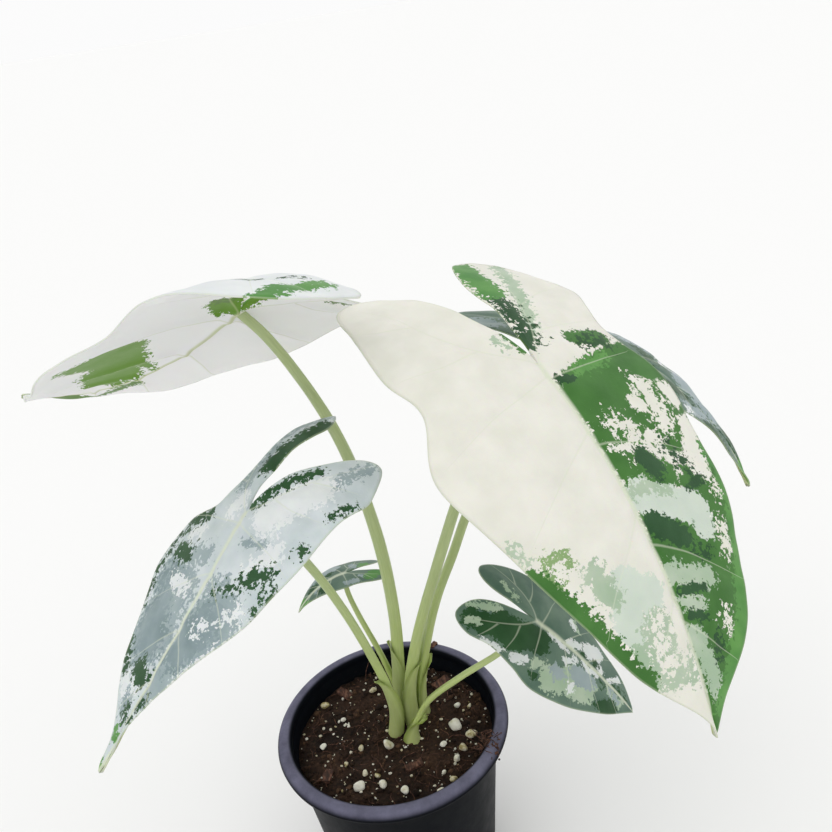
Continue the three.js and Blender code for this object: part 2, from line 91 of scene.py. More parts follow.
# For each leaf: where its joint is (its height above the soil), its length and its turn in
# degrees, how it bends, its two outlines, its stalk from the foot up, and the stalk's radii.
# A sheath has a height, a reach round the stalk in degrees and a stand-off.
# patches paint the blade in order: a tissue, how ragged its edge is in millimetres, and
# strokes on the left and right halves: a radius, then the points that the stroke follows.
LEAVES = {
    "upper_left": {
        "at": (-26, 10, 212), "length": 145, "heading": 305, "pitch": -35, "roll": 0,
        "droop": -0.58, "lobes": -2.3, "fold": (22, -37), "curl": (0.7, -0.48),
        "left": [
            (0, 100), (6, 91), (20, 72), (37, 44), (49, 17), (39, 0), (42, -19), (35, -37), (17, -46),
            (7, -37.5), (1.5, -19),
        ],
        "right": [
            (0, 100), (2.5, 89), (11, 68), (21, 37), (33, 11), (42, -2), (46, -10), (40, -18),
            (30, -24), (14, -21), (2, -10),
        ],
        "stalk": [
            (5, 10), (6, 9, 8), (8.5, 9, 32), (10.5, 9, 56), (10.5, 10, 82), (9, 11, 104),
            (4.5, 12, 136), (-1, 12, 158), (-9, 11, 180), (-18, 10, 199),
        ],
        "sheath": (46, 150, 1.2), "radii": (4, 3.2, 1.9), "slot": "blade_white_green", "base": "white",
        "patches": [
            ("bright", 2.2,
             [(4.5, 35, 22, 26, 26, 19, 31), (6, 30, 19, 20, 24, 14, 32), (3, 26, 15, 20, 17),
              (1.4, 41, 22, 37, 23), (6, 20, 36, 12, 45, 6, 54), (4.5, 13, 36, 5, 45),
              (2, 10, 33, 3, 37)],
             [(2, 1, 56, 2, 62)]),
            ("olive", 1.6,
             [(3, 2, 86, 1, 98), (1.2, 12, 75, 17, 66)],
             [(5, 2, 82, 1, 95), (1.4, 6, 80, 7, 70, 5, 60, 3, 50)]),
            ("bright", 1.8,
             [(3.5, 8, -3, 5, -6), (3, 5, 0, 2, -2), (2.2, 42, -35, 33, -35.5, 26, -36.5, 18, -39)],
             [(2, 1, -3, 3, -10, 5, -16), (0.8, 5, -17, 9, -22)]),
            ("deep", 2,
             [(1.8, 9, -4, 7, -6), (1, 24, -23, 25, -29), (0.8, 19, -31, 17, -34), (1.2, 42, 2, 44, -6)],
             [(1, 20, -16, 28, -18)]),
        ],
    },
    "large_front": {
        "at": (72, -44, 189.5), "length": 131, "heading": 157, "pitch": -33, "roll": -15,
        "droop": 0.6, "lobes": -1.05, "fold": (5, -9), "curl": (0.28, 0.68),
        "left": [
            (0, 100), (7, 92), (24, 75), (35, 44), (38, 11), (32, -8), (37, -24), (33, -40), (19, -54),
            (8, -43), (2, -18),
        ],
        "right": [
            (0, 100), (3, 94), (19, 77), (34, 47), (43, 20), (37, 1), (39, -15), (36, -35), (30, -51),
            (18, -46), (5, -19),
        ],
        "left_veins": [
            [(0, 5), (15, 4), (33, 3)], [(0, 26), (10, 28), (20, 31), (34, 38)],
            [(0, 53), (8, 57), (14, 61), (26, 70)], [(0, 72), (6, 78), (13, 86)],
            [(0, 0), (8, -13), (15, -27), (22, -45)], [(6, -10), (16, -11), (31, -10)],
            [(13, -22), (24, -26), (35, -28)],
        ],
        "right_veins": [
            [(0, 4), (10, 7), (22, 10), (40, 17)], [(0, 22), (10, 28), (20, 35), (34, 46)],
            [(0, 45), (7, 52), (16, 61), (22, 69)], [(0, 66), (5, 72), (12, 82)],
            [(0, 0), (13, -10), (20, -22), (23, -35), (27, -47)], [(13, -10), (24, -10), (36, -12)],
            [(21, -27), (28, -31), (36, -36)],
        ],
        "stalk": [
            (9.5, 3), (10.5, 3, 18), (17.5, 1, 48), (24, -1, 68), (29, -3, 82), (36, -6, 102),
            (42, -10, 120), (51, -18, 146), (60, -28, 168),
        ],
        "sheath": (38, 145, 1), "radii": (3.4, 2.6, 2), "slot": "blade_cream_green", "base": "cream",
        "patches": [
            ("green", 1.2,
             [(11, 10, 14, 30, 10), (20, 20, 27, 20, 55), (15, 15, 60, 12, 75), (10, 10, 80, 6, 86),
              (5, 5, 90, 2, 96), (3, 17, -5, 27, -3)],
             [(1.2, 1.5, -5, 3, -12)]),
            ("leafy", 2, [], [(3, 25, 48.5, 28.5, 50.5), (2, 27.5, 47, 27.5, 53)]),
            ("mist", 1.4,
             [(5, 4, 42, 10, 45, 18, 48), (4, 20, 50, 19, 54)],
             [(5.5, 12, 60, 14, 68), (3.5, 6, 62, 10, 70)]),
            ("sage", 2.2,
             [(2.8, 2, 61, 7, 63.5, 13, 65), (2.4, 3, 68, 6.5, 70.5), (2.6, 1.5, 76, 3, 81, 3.5, 90),
              (2.2, 6, -10, 15, -24, 27, -46), (1.6, 2, 40, 8, 40, 13, 43)],
             [(3.2, 19, 54, 17, 60), (5.5, 8, 72, 10, 76, 8, 80), (3, 15, 75, 13, 83),
              (2, 2, 78, 3, 84), (1.2, 5, -8, 7, -11), (1.2, 34.5, 40.5, 32.8, 45.5)]),
            ("cream", 1.4,
             [(2.4, 20, 18.5, 21.5, 20), (2.8, 35, 17, 35.5, 21), (2, 17.5, 28.3, 20, 29.7),
              (4.5, 34.5, 30, 32, 36, 28.5, 40), (2.6, 24, 37, 20, 35), (1.2, 3, 28, 9.5, 30),
              (1.4, 17, 42, 20, 40)],
             []),
            ("cream", 4.5,
             [(3.5, 27, 14, 26, 26), (2, 8, 22, 14, 26), (3, 10, 30, 20, 33), (2, 26, 57, 25, 62),
              (2, 14, 77, 14.5, 80), (2, 31, 46, 33, 50)],
             [(2, 8, 70, 9, 80), (1.4, 3, 72, 3, 80), (1.2, 14, 78, 14, 84), (1.5, 26, 50, 28, 52)]),
            ("deep", 1.4,
             [(3.2, 11.5, 33, 13, 38), (3.2, 3.5, 49, 10, 54.5), (1.2, 2.5, 65.5, 9, 67),
              (1.2, 3, 71.5, 7, 73.5), (1.6, 2, 6, 6, 7), (1.4, 20, 44, 27, 43), (2, 1.5, -6, 3, -10)],
             [(1.2, 28.5, 57, 24, 65, 20, 74, 16, 80)]),
            ("deep", 4.5,
             [(3.5, 4, -10, 8, -28), (2, 20, -3, 27, -2), (2, 22, 34, 24, 40), (1.2, 13, 58, 16, 60),
              (1.2, 8, 84, 10, 80)],
             []),
            ("green", 2,
             [(1.4, 14, 40, 20, 42), (3, 30, 9, 34, 10)],
             [(3, 33, 50, 26, 62, 22, 70, 19, 77, 15, 81)]),
            ("bright", 2.2,
             [(3, 37, 36, 34.5, 50, 29, 64, 21, 77, 12, 86, 5, 94), (4, 9, -30, 12, -42, 16, -50),
              (2, 10, 5, 22, 3)],
             []),
        ],
    },
    "lower_left": {
        "at": (-36.5, -35, 151.5), "length": 98, "heading": 237, "pitch": -40, "roll": 22,
        "droop": 0, "lobes": -1.7, "fold": (-18, 12), "curl": (0.6, 0),
        "left": [
            (0, 100), (1, 89), (8, 67), (25, 40), (36, 15), (40, -2), (42, -19), (42, -36), (31, -50),
            (20, -43), (7, -18),
        ],
        "right": [
            (0, 100), (5, 89), (21, 72), (37, 44), (37, 16), (18, 0), (16, -22), (22, -42), (22, -53),
            (9, -44), (2, -20),
        ],
        "stalk": [
            (0, 0), (2, -1, 10), (1, -3, 28), (-1.5, -4, 42), (-8, -9, 72), (-14, -13, 94),
            (-19.5, -17, 111), (-26, -24, 130),
        ],
        "sheath": (38, 150, 1.6), "radii": (3.6, 2, 1.7), "slot": "blade_silver", "base": "pearl",
        "patches": [
            ("silver", 3,
             [(8, 4, 68, 6, 55), (12, 8, 46, 16, 36), (3, 27, -25, 28, -46), (3, 4, 28, 12, 24),
              (2, 10, 8, 20, 6)],
             [(16, 16, 52, 17, 50), (10, 12, 36, 26, 36), (4, 6, 78, 10, 74), (4, 10, -10, 13, -25),
              (3, 20, -30, 20, -48), (4, 8, 20, 20, 24)]),
            ("grey", 5, [(9, 6, 50, 12, 40)], [(10, 14, 56, 20, 50), (5, 22, 32, 28, 36)]),
            ("white", 3,
             [(8, 14, -4, 24, -22), (4, 20, 15, 26, 6), (2, 24, 30, 20, 34),
              (1.2, 36, 20, 29, 36, 18, 54, 8, 72), (2, 10, 42, 13, 40)],
             [(2.5, 6, 71, 10, 70), (3, 10, 34, 20, 34), (2, 22, 22, 24, 20), (3, 21, 13, 26, 16),
              (3, 12, 74, 16, 72), (3, 5, -4, 8, 2)]),
            ("deep", 2.6,
             [(1.2, 8, 28, 14, 25, 20, 22), (2.8, 22, 17, 28, 14), (1.4, 35, 2, 37, 0),
              (2.2, 3, -4, 10, -15, 17, -29), (1.4, 38, -17, 41, -29), (1.2, 2, 80, 3, 72),
              (1.6, 31, 27, 34, 19)],
             [(4, 5, 67, 11, 65), (2.2, 2, 82, 4, 78), (2, 20, 70, 27, 62),
              (1.4, 35, 50, 37, 36, 36, 20), (3.5, 21, 24, 28, 24), (3, 22, 6, 33, 13),
              (5, 6, -20, 8, -34, 12, -46)]),
            ("deep", 4, [(2, 20, 20, 30, 16)], [(1.8, 20, 22, 28, 24), (1.8, 28, 10, 34, 18)]),
            ("bright", 1.6, [], [(2, 2, 88, 5, 86), (1, 2, 95, 1, 98)]),
        ],
    },
    "small_right": {
        "at": (65, -35, 74.5), "length": 58, "heading": 118, "pitch": -42, "roll": 11,
        "droop": 0.32, "lobes": -0.73, "fold": (-7, -2), "curl": (0.77, 0.51),
        "left": [
            (0, 100), (7, 92), (19, 73), (31, 43), (40, 16), (38, -2), (38, -19), (34, -37), (20, -53),
            (7, -46), (1, -22),
        ],
        "right": [
            (0, 100), (7, 92), (22, 74), (38, 45), (45, 17), (41, -3), (37, -21), (37, -41), (27, -54),
            (11, -45), (3, -20),
        ],
        "stalk": [
            (7, -7), (9, -7.5, 6), (12, -8, 13), (18, -11, 24), (32, -18, 39), (48, -26, 54),
            (57, -31, 64),
        ],
        "sheath": (15, 160, 1.8), "radii": (4.3, 1.5, 1.3), "slot": "blade_dark_green", "base": "slate",
        "patches": [
            ("sage", 1.4,
             [(3.5, 20, 31, 24, 27), (2, 6, -20, 13, -33)],
             [(12, 17, 50, 20, 42), (10, 26, 32, 30, 26), (3.5, 5, 84, 5, 72), (3.5, 10, -28, 17, -46),
              (3.5, 27, -38, 28, -46), (4, 26, 14, 30, 10)]),
            ("silver", 1.6, [], [(7, 12, 52, 14, 42), (5, 22, 30, 24, 26), (3, 5, 80, 5, 74)]),
            ("white", 1.2,
             [(7, 12, 52, 10, 46), (3.5, 6, 36, 3, 28), (4.5, 17, 56, 16, 52), (2.5, 10, 78, 3, 70),
              (3, 20, 29, 22, 27), (3, 4, 57, 3, 60)],
             [(2.5, 5, 37, 12, 30), (2.5, 3, 56, 3, 44), (2.8, 24, 41, 26, 42), (3.5, 31, 3, 34, -5),
              (2, 35, -14, 36, -30), (2.5, 4, 28, 2, 12)]),
            ("deep", 1.3,
             [(2.5, 2, 86, 1, 74), (2.8, 4, 53, 6, 54), (2, 2, 42, 1, 38)],
             [(10, 13, 6, 14, -2), (12, 20, -10, 20, -20), (8, 24, -30, 26, -42), (7, 15, 77, 19, 73),
              (2.5, 20, 67, 21, 66), (2, 5, 62, 6, 65), (2.8, 35, 14, 37, 12)]),
            ("sage", 1, [], [(2.8, 26, -37, 28, -44), (2, 10, -30, 14, -40)]),
        ],
    },
    "small_back": {
        "at": (-8, 35, 68.5), "length": 29, "heading": 252, "pitch": 6, "roll": 8,
        "droop": 0.9, "lobes": -0.4, "fold": (-2, 1), "curl": (0.5, 0.6),
        "left": LONG_LOBED_HALF,
        "right": LONG_LOBED_HALF,
        "stalk": [(10, 15), (6, 17, 6), (1, 20, 29), (-6, 28, 50), (-8.5, 32, 60)],
        "radii": (2.1, 1.5, 1.2), "slot": "blade_dark_green", "base": "slate",
        "patches": [
            ("silver", 1,
             [(6, 30, 10, 32, -5), (4, 22, -18, 26, -20), (5, 5, 50, 8, 55)],
             [(12, 28, 30, 30, 10), (6, 10, -18, 20, -22), (8, 20, 55, 25, 50)]),
            ("deep", 1, [(8, 12, 48, 18, 40)], [(7, 10, 56, 8, 60), (5, 14, 24, 16, 20)]),
            # the bright green strokes on the lobes are painted light: they stand for light shining
            # through the thin lobes
            ("bright", 1,
             [(10, 30, -32, 20, -45), (8, 6, 80, 2, 90)],
             [(10, 6, -36, 12, -40), (6, 5, 80, 2, 90)]),
        ],
    },
    "right_back": {
        "at": (113, 31, 167.5), "length": 99, "heading": 124, "pitch": -20, "roll": -12,
        "droop": 0.82, "lobes": -0.42, "fold": (-2, 4), "curl": (0.57, 0.42),
        "left": PLAIN_HALF,
        "right": PLAIN_HALF,
        "stalk": [
            (16, 8), (16, 8, 14), (23, 10, 40), (31, 11, 62), (41, 14, 80), (50, 16, 98), (70, 21, 129),
            (94, 27, 154),
        ],
        "sheath": (34, 140, 1), "radii": (2.9, 2.3, 1.8), "slot": "blade_slate", "base": "slate",
        "patches": [
            ("silver", 3.5,
             [(12, 12, 62, 16, 50), (10, 22, 20, 28, 10), (6, 28, -30, 30, -40)],
             [(6, 10, 62, 14, 55), (10, 22, 30, 26, 20), (6, 34, -33, 36, -36), (3, 14, 77, 17, 76)]),
            ("white", 2.5,
             [(3, 18, 44, 22, 36), (3, 12, -10, 20, -16)],
             [(2, 16, 55, 20, 55), (3, 20, 4, 28, 2)]),
            ("deep", 4,
             [(5, 6, 80, 4, 90), (5, 10, 34, 14, 26), (5, 10, 2, 20, -2)],
             [(5, 10, 74, 16, 66), (5, 6, 50, 12, 44), (6, 12, -10, 20, -20)]),
            ("bright", 1.4, [(3, 1, 96, 3, 90)], [(3, 1, 96, 3, 90)]),
        ],
    },
}

# What a tissue looks like: two shades of its upper side, then its underside.
TISSUES = {
    "cream": ("#e3e1d8", "#dbdacf", "#dadad0"),
    "white": ("#e0e3e3", "#d6dadb", "#eeedee"),
    "sage": ("#9fb59a", "#b3c1ac", "#bcc7a6"),
    "pearl": ("#cdd4d6", "#bcc6c8", "#c3caca"),
    "mist": ("#c3cec1", "#ccd5c9", "#c9d1bb"),
    "leafy": ("#7a9a62", "#8ba672", "#8fa765"),
    "green": ("#3a6a2b", "#477836", "#6f9048"),
    "deep": ("#1f4623", "#305532", "#5f7d3c"),
    "bright": ("#47803a", "#5f944a", "#66902f"),
    "olive": ("#416b2a", "#4f7a34", "#567d2a"),
    "silver": ("#9dabad", "#8e9ea1", "#b4bdb6"),
    "grey": ("#75888a", "#8c9c9f", "#a5b0a8"),
    "slate": ("#4f6a5c", "#68806f", "#8a9c86"),
}

# ---- Small helpers --------------------------------------------------------

FAR = 1e9  # further than any line is from anything


def linear(code):
    """An sRGB hex colour as the linear colour that a shader takes."""
    shares = [int(code[i:i + 2], 16) / 255 for i in (1, 3, 5)]
    return (*[s / 12.92 if s <= 0.04045 else ((s + 0.055) / 1.055) ** 2.4 for s in shares], 1)


def add(tree, kind, inputs=None, stops=None, **settings):
    """Adds a node with its settings. An input is set to a value, or linked to a socket."""
    node = tree.nodes.new(kind)
    for key, value in settings.items():
        setattr(node, key, value)
    for key, value in (inputs or {}).items():
        if isinstance(value, bpy.types.NodeSocket):
            tree.links.new(value, node.inputs[key])
        else:
            node.inputs[key].default_value = value
    if stops:
        ramp = node.color_ramp
        while len(ramp.elements) < len(stops):
            ramp.elements.new(0.5)
        for element, (place, shade) in zip(ramp.elements, stops):
            element.position = place
            element.color = linear(shade)
    return node


def place_in_scene(name, data):
    thing = bpy.data.objects.new(name, data)
    bpy.context.scene.collection.objects.link(thing)
    return thing


def new_material(name):
    material = bpy.data.materials.new(name)
    material.use_nodes = True
    tree = material.node_tree
    return material, tree, tree.nodes["Principled BSDF"]


def finish_piece(bm, name, material, smooth=True):
    """Turns a finished bmesh into a piece that rides on the pot's body."""
    mesh = bpy.data.meshes.new(name)
    bm.to_mesh(mesh)
    bm.free()
    mesh.polygons.foreach_set("use_smooth", [smooth] * len(mesh.polygons))
    piece = place_in_scene(name, mesh)
    mesh.materials.append(material)
    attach(piece, "root")
    return piece


def smooth_line(points, steps):
    """Points on a smooth line through all the given ones, steps to each stretch."""
    points = np.array(points)
    line = np.array([2 * points[0] - points[1], *points, 2 * points[-1] - points[-2]])
    places = []
    for i in range(len(points) - 1):
        p0, p1, p2, p3 = line[i:i + 4]
        for s in np.arange(steps) / steps:
            a = 2 * p0 - 5 * p1 + 4 * p2 - p3
            b = 3 * p1 - p0 - 3 * p2 + p3
            places.append(0.5 * (2 * p1 + (p2 - p0) * s + a * s ** 2 + b * s ** 3))
    return np.array([*places, line[-2]])


def from_line(line, x, y):
    """How far each place is from a line, with its side as the sign, and how far along it."""
    best = np.full(len(x), FAR)
    side = np.ones(len(x))
    along = np.zeros(len(x))
    for i in range(len(line) - 1):
        start, step = line[i], line[i + 1] - line[i]
        share = ((x - start[0]) * step[0] + (y - start[1]) * step[1]) / max(step @ step, 1e-12)
        held = np.clip(share, 0, 1)
        off_x = x - start[0] - held * step[0]
        off_y = y - start[1] - held * step[1]
        distance = np.hypot(off_x, off_y)
        nearer = distance < best
        best = np.where(nearer, distance, best)
        side = np.where(nearer, np.where(step[0] * off_y - step[1] * off_x < 0, -1, 1), side)
        along = np.where(nearer, (i + held) / (len(line) - 1), along)
    return best * side, along


WELL_OUTSIDE = -0.2  # the depth that a patch's colour never reaches


def depth_in(strokes, x, y):
    """How deep each place is inside the strokes, as a share of the length: below zero outside."""
    depth = np.full(len(x), WELL_OUTSIDE)
    for stroke in strokes:
        radius, *numbers = np.array(stroke) / HUNDREDTHS
        line = np.reshape(numbers, (-1, 2))
        depth = np.maximum(depth, radius - np.abs(from_line(line, x, y)[0]))
    return depth


# ---- Blade shape ----------------------------------------------------------

SIDES = {"left": -1, "right": 1}  # the sign of across on each half
SHOULDER_STEP = 4.3  # the outline step across from the stalk's joint
EDGE_SHARE = 1.9  # from the tip round to the sinus, in lengths of the blade
ROW_SPACING = 0.95  # millimetres of that to a row of faces
BLADE_HALF_COLUMNS = 34
MARGIN_STEPS = 90
MARGIN_THICKNESS = 0.45
MIDDLE_THICKNESS = 0.9
THINNING_REACH = 6  # how far in from its margin a blade goes on thickening
UNDERSIDE = -0.5  # a flat blade's upper side is at 0 and its underside at -1
MIDRIB_RISE = 1.5  # how far the midrib stands out under the blade at the joint
MIDRIB_WIDTH = 2.4
MIDRIB_TIP_WIDTH = 0.5
THINNEST_MIDRIB = 0.12  # a share of its width at the joint
MIDRIB_SINK = 0.75
VEIN_RISE = 0.55
VEIN_WIDTH = 2.2
VEIN_SINK = 0.45
PILLOW_RISE = 0.75  # how far the blade swells between its veins
PILLOW_WIDTH = 7
FLAT_MARGIN = 9  # how wide the strip is over which relief fades out towards the margin
MARGIN_WAVES = 19  # radians of wave in a blade's length
MARGIN_WAVE_SHARE = 0.006
PUCKER_SIZE = 9
PUCKER_RISE = 0.35
FULL_RELIEF_LENGTH = 90  # a shorter blade has shallower relief in proportion


def outline_place(half, step):
    """Places on the smooth line through an outline; step counts its points from the tip."""
    points = np.array(half) / HUNDREDTHS
    line = np.vstack([[-points[1, 0], 2 - points[1, 1]], points, [0, 0]])
    first = np.minimum(np.floor(step), len(points) - 2).astype(int)
    s = (step - first)[:, None]
    p0, p1, p2, p3 = (line[first + k] for k in range(4))
    a = 2 * p0 - 5 * p1 + 4 * p2 - p3
    b = 3 * p1 - p0 - 3 * p2 + p3
    return 0.5 * (2 * p1 + (p2 - p0) * s + a * s ** 2 + b * s ** 3)


def bent_line(start, rate, distance):
    """Where a line that starts at an angle and bends at a steady rate gets to."""
    rate = np.where(np.abs(rate) < 1e-6, 1e-6, rate)
    end = start + rate * distance
    return (np.sin(end) - np.sin(start)) / rate, (np.cos(start) - np.cos(end)) / rate


def bent(leaf, across, along):
    """Where flat places of the blade are once it has bent, in the leaf's own frame. Its midrib
    bends by droop in front of the joint and by lobes behind it, and each half starts at its
    fold, in degrees, and bends by its curl; a bend is in radians to a blade's length."""
    rate = np.where(along >= 0, -leaf["droop"], leaf["lobes"]) / leaf["length"]
    rib_along, rib_up = bent_line(0, rate, along)
    tilt = rate * along
    right = across >= 0
    fold = np.radians(np.where(right, leaf["fold"][1], leaf["fold"][0]))
    curl = np.where(right, leaf["curl"][1], leaf["curl"][0])
    out, up = bent_line(fold, -curl / leaf["length"], np.abs(across))
    return np.stack([
        np.sign(across) * out,
        rib_along - np.sin(tilt) * up,
        rib_up + np.cos(tilt) * up,
    ], axis=1)


def blade_normal(leaf, across, along):
    """The way that the bent blade's upper side faces at each flat place."""
    reach = 0.5  # millimetres to each side over which the slope is taken
    aside = np.where(across == 0, reach, np.minimum(reach, np.abs(across) / 2))
    right = bent(leaf, across + aside, along) - bent(leaf, across - aside, along)
    forward = bent(leaf, across, along + reach) - bent(leaf, across, along - reach)
    normal = np.cross(right, forward)
    return normal / np.linalg.norm(normal, axis=1)[:, None]


def leaf_turn(leaf):
    """The turn from the leaf's own frame: its tip is along +Y and its upper side faces +Z."""
    return (
        Matrix.Rotation(-math.radians(leaf["heading"]), 3, "Z")
        @ Matrix.Rotation(math.radians(leaf["pitch"]), 3, "X")
        @ Matrix.Rotation(math.radians(leaf["roll"]), 3, "Y")
    )


def joint(leaf):
    """Where a leaf's blade meets its stalk, in millimetres."""
    x, y, height = leaf["at"]
    return Vector((x, y, height + SOIL_TOP))


def veins_of(leaf, side):
    """The side veins of one half, in millimetres, with the left half's across below zero."""
    lines = leaf.get(side + "_veins", PLAIN_VEINS)
    scale = leaf["length"] / HUNDREDTHS
    return [smooth_line([(SIDES[side] * x, y) for x, y in line], 5) * scale for line in lines]


def margin_of(leaf, side):
    """The edge of one half, in millimetres, as the only line of a list."""
    half = leaf[side]
    line = outline_place(half, np.linspace(0, 1, MARGIN_STEPS) * (len(half) - 1))
    return [line * (SIDES[side] * leaf["length"], leaf["length"])]


def nearest(leaf, lines_of, across, along):
    """How far each flat place is from the nearest line of its own half, in millimetres."""
    best = np.full(len(across), FAR)
    for side, sign in SIDES.items():
        for line in lines_of(leaf, side):
            away = np.abs(from_line(line, across, along)[0])
            best = np.where(np.sign(across) == -sign, best, np.minimum(best, away))
    return best


def relief(leaf, across, along, vein, margin):
    """How far the upper side rises, and how far the ribs stand out under the blade."""
    length = leaf["length"]
    thinning = np.clip(1 - along / length, THINNEST_MIDRIB, 1)
    rib_width = MIDRIB_WIDTH * thinning + MIDRIB_TIP_WIDTH
    midrib = np.exp(-(across / rib_width) ** 2) * np.where(along > 0, 1, np.exp(along / 3))
    valley = np.exp(-(vein / VEIN_WIDTH) ** 2)
    pillow = 1 - np.exp(-(np.minimum(vein, np.abs(across)) / PILLOW_WIDTH) ** 2)
    inner = np.clip(margin / FLAT_MARGIN, 0, 1)
    wave = np.sin(along / length * MARGIN_WAVES + np.sign(across) * 1.3) * (1 - inner)
    puckers = np.array([
        noise.noise((a / PUCKER_SIZE, b / PUCKER_SIZE, length)) for a, b in zip(across, along)
    ])
    upper = (
        PUCKER_RISE * puckers + MARGIN_WAVE_SHARE * length * wave - MIDRIB_SINK * midrib
        + (PILLOW_RISE * pillow - VEIN_SINK * valley) * inner
    )
    under = MIDRIB_RISE * midrib * thinning + VEIN_RISE * valley * inner
    size = min(1, length / FULL_RELIEF_LENGTH)
    return upper * size, under * size


def blade_grid(leaf):
    """The blade laid flat and given a thickness: its tip and its fan merged."""
    rows = int(EDGE_SHARE * leaf["length"] / ROW_SPACING)
    bm = bmesh.new()
    bmesh.ops.create_grid(bm, x_segments=2 * BLADE_HALF_COLUMNS, y_segments=rows, size=1)
    x = np.round([v.co.x for v in bm.verts], 5)
    y = np.array([v.co.y for v in bm.verts])
    across = np.zeros(len(x))
    along = np.zeros(len(x))
    for half, part in ((leaf["left"], x < 0), (leaf["right"], x >= 0)):
        step = np.clip((1 - y[part]) / 2, 0, 1) * (len(half) - 1)
        margin = outline_place(half, step)
        root = np.maximum(0, 1 - step / SHOULDER_STEP)
        reach = np.abs(x[part])
        across[part] = np.sign(x[part]) * reach * margin[:, 0]
        along[part] = root + (margin[:, 1] - root) * reach
    for v, a, b in zip(bm.verts, across * leaf["length"], along * leaf["length"]):
        v.co = (a, b, 0)
    bmesh.ops.remove_doubles(bm, verts=bm.verts, dist=0.02)
    bmesh.ops.dissolve_degenerate(bm, edges=bm.edges, dist=0.001)
    for face in bm.faces:
        if face.normal.z < 0:
            face.normal_flip()
    bmesh.ops.solidify(bm, geom=bm.verts[:] + bm.edges[:] + bm.faces[:], thickness=1)
    if min(v.co.z for v in bm.verts) > UNDERSIDE:
        bmesh.ops.translate(bm, verts=bm.verts, vec=(0, 0, -1))
    bmesh.ops.recalc_face_normals(bm, faces=bm.faces)
    return bm


def corner_values(mesh, name, values):
    mesh.attributes.new(name, "FLOAT", "CORNER").data.foreach_set("value", values.astype(np.float32))


def paint_fields(mesh, leaf, flat, margin):
    """Keeps on each face corner its flat place, its depth in each patch, its veins and margin."""
    length = leaf["length"]
    corners = np.zeros(len(mesh.loops), np.int32)
    mesh.loops.foreach_get("vertex_index", corners)
    totals = np.zeros(len(mesh.polygons), np.int32)
    mesh.polygons.foreach_get("loop_total", totals)
    face_of = np.repeat(np.arange(len(totals)), totals)
    across, along, under = flat[corners].T
    middle = np.bincount(face_of, across) / totals
    is_left = (middle < 0)[face_of]
    x, y = np.abs(across) / length, along / length
    for number, (_, _, left, right) in enumerate(leaf["patches"]):
        depth = np.where(is_left, depth_in(left, x, y), depth_in(right, x, y))
        corner_values(mesh, f"patch_{number}", depth * length)
    distance = np.full(len(corners), FAR)
    share = np.zeros(len(corners))
    closest = np.full(len(totals), FAR)
    for side, half in (("left", is_left), ("right", ~is_left)):
        for line in veins_of(leaf, side):
            off, reached = from_line(line, across, along)
            typical = np.bincount(face_of, np.abs(off)) / totals
            nearer = (typical < closest)[face_of] & half
            distance = np.where(nearer, off, distance)
            share = np.where(nearer, reached, share)
            closest = np.where(np.bincount(face_of, nearer) > 0, typical, closest)
    corner_values(mesh, "vein", distance)
    corner_values(mesh, "vein_share", share)
    corner_values(mesh, "under", (under < UNDERSIDE).astype(float))
    corner_values(mesh, "margin", margin[corners])
    uv = np.stack([across, along], axis=1).astype(np.float32)
    mesh.uv_layers.new(name="flat").data.foreach_set("uv", uv.ravel())


def blade(name, leaf):
    """A leaf's blade: made flat, painted, then bent and turned into its place."""
    bm = blade_grid(leaf)
    piece = finish_piece(bm, "blade_" + name, blade_skin(name, leaf))
    mesh = piece.data
    flat = np.zeros(3 * len(mesh.vertices), np.float32)
    mesh.vertices.foreach_get("co", flat)
    flat = flat.reshape(-1, 3).astype(float)
    across, along, under = flat.T
    margin = nearest(leaf, margin_of, across, along)
    upper, ribs = relief(leaf, across, along, nearest(leaf, veins_of, across, along), margin)
    filling = 1 - np.exp(-margin / THINNING_REACH)
    thickness = MARGIN_THICKNESS + (MIDDLE_THICKNESS - MARGIN_THICKNESS) * filling
    lift = np.where(under < UNDERSIDE, upper - thickness / 2 - ribs, upper + thickness / 2)
    places = bent(leaf, across, along) + blade_normal(leaf, across, along) * lift[:, None]
    turned = places @ np.array(leaf_turn(leaf)).T + np.array(joint(leaf))
    paint_fields(mesh, leaf, flat, margin)
    mesh.vertices.foreach_set("co", (turned * MM).astype(np.float32).ravel())
    mesh.update()
    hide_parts("leaf_" + name)


# ---- Blade finish ---------------------------------------------------------

# Living leaf: a waxy skin over cells. The skin gives a soft satin shine with a finely
# pebbled break-up, and the thin blade lets a little light through.
CELL = 1.1  # millimetres across a block of one kind of cell, which makes patch edges ragged
MOTTLE = 2.5  # millimetres across the tongues that a patch's edge breaks into
SHADE_DRIFT = 13  # millimetres across which a tissue goes from one of its shades to the other
PEBBLE = 0.7  # real pebbling is about 0.2 mm; drawn coarser so that it shows
VEIN_LINE = (0.75, 0.15)  # millimetres from a side vein's middle to its edge, root and end
MIDRIB_LINE = (2.0, 0.6)  # the same for the midrib, at the joint and at the tip


def tissue_colour(tree, kind, shade, under):
    """A tissue's own colour: its two upper shades by one share, its underside by the other."""
    one, other, below = (linear(code) for code in TISSUES[kind])
    top = add(tree, "ShaderNodeMix", {0: shade, 6: one, 7: other}, data_type="RGBA")
    both = add(tree, "ShaderNodeMix", {0: under, 6: top.outputs[2], 7: below}, data_type="RGBA")
    return both.outputs[2]


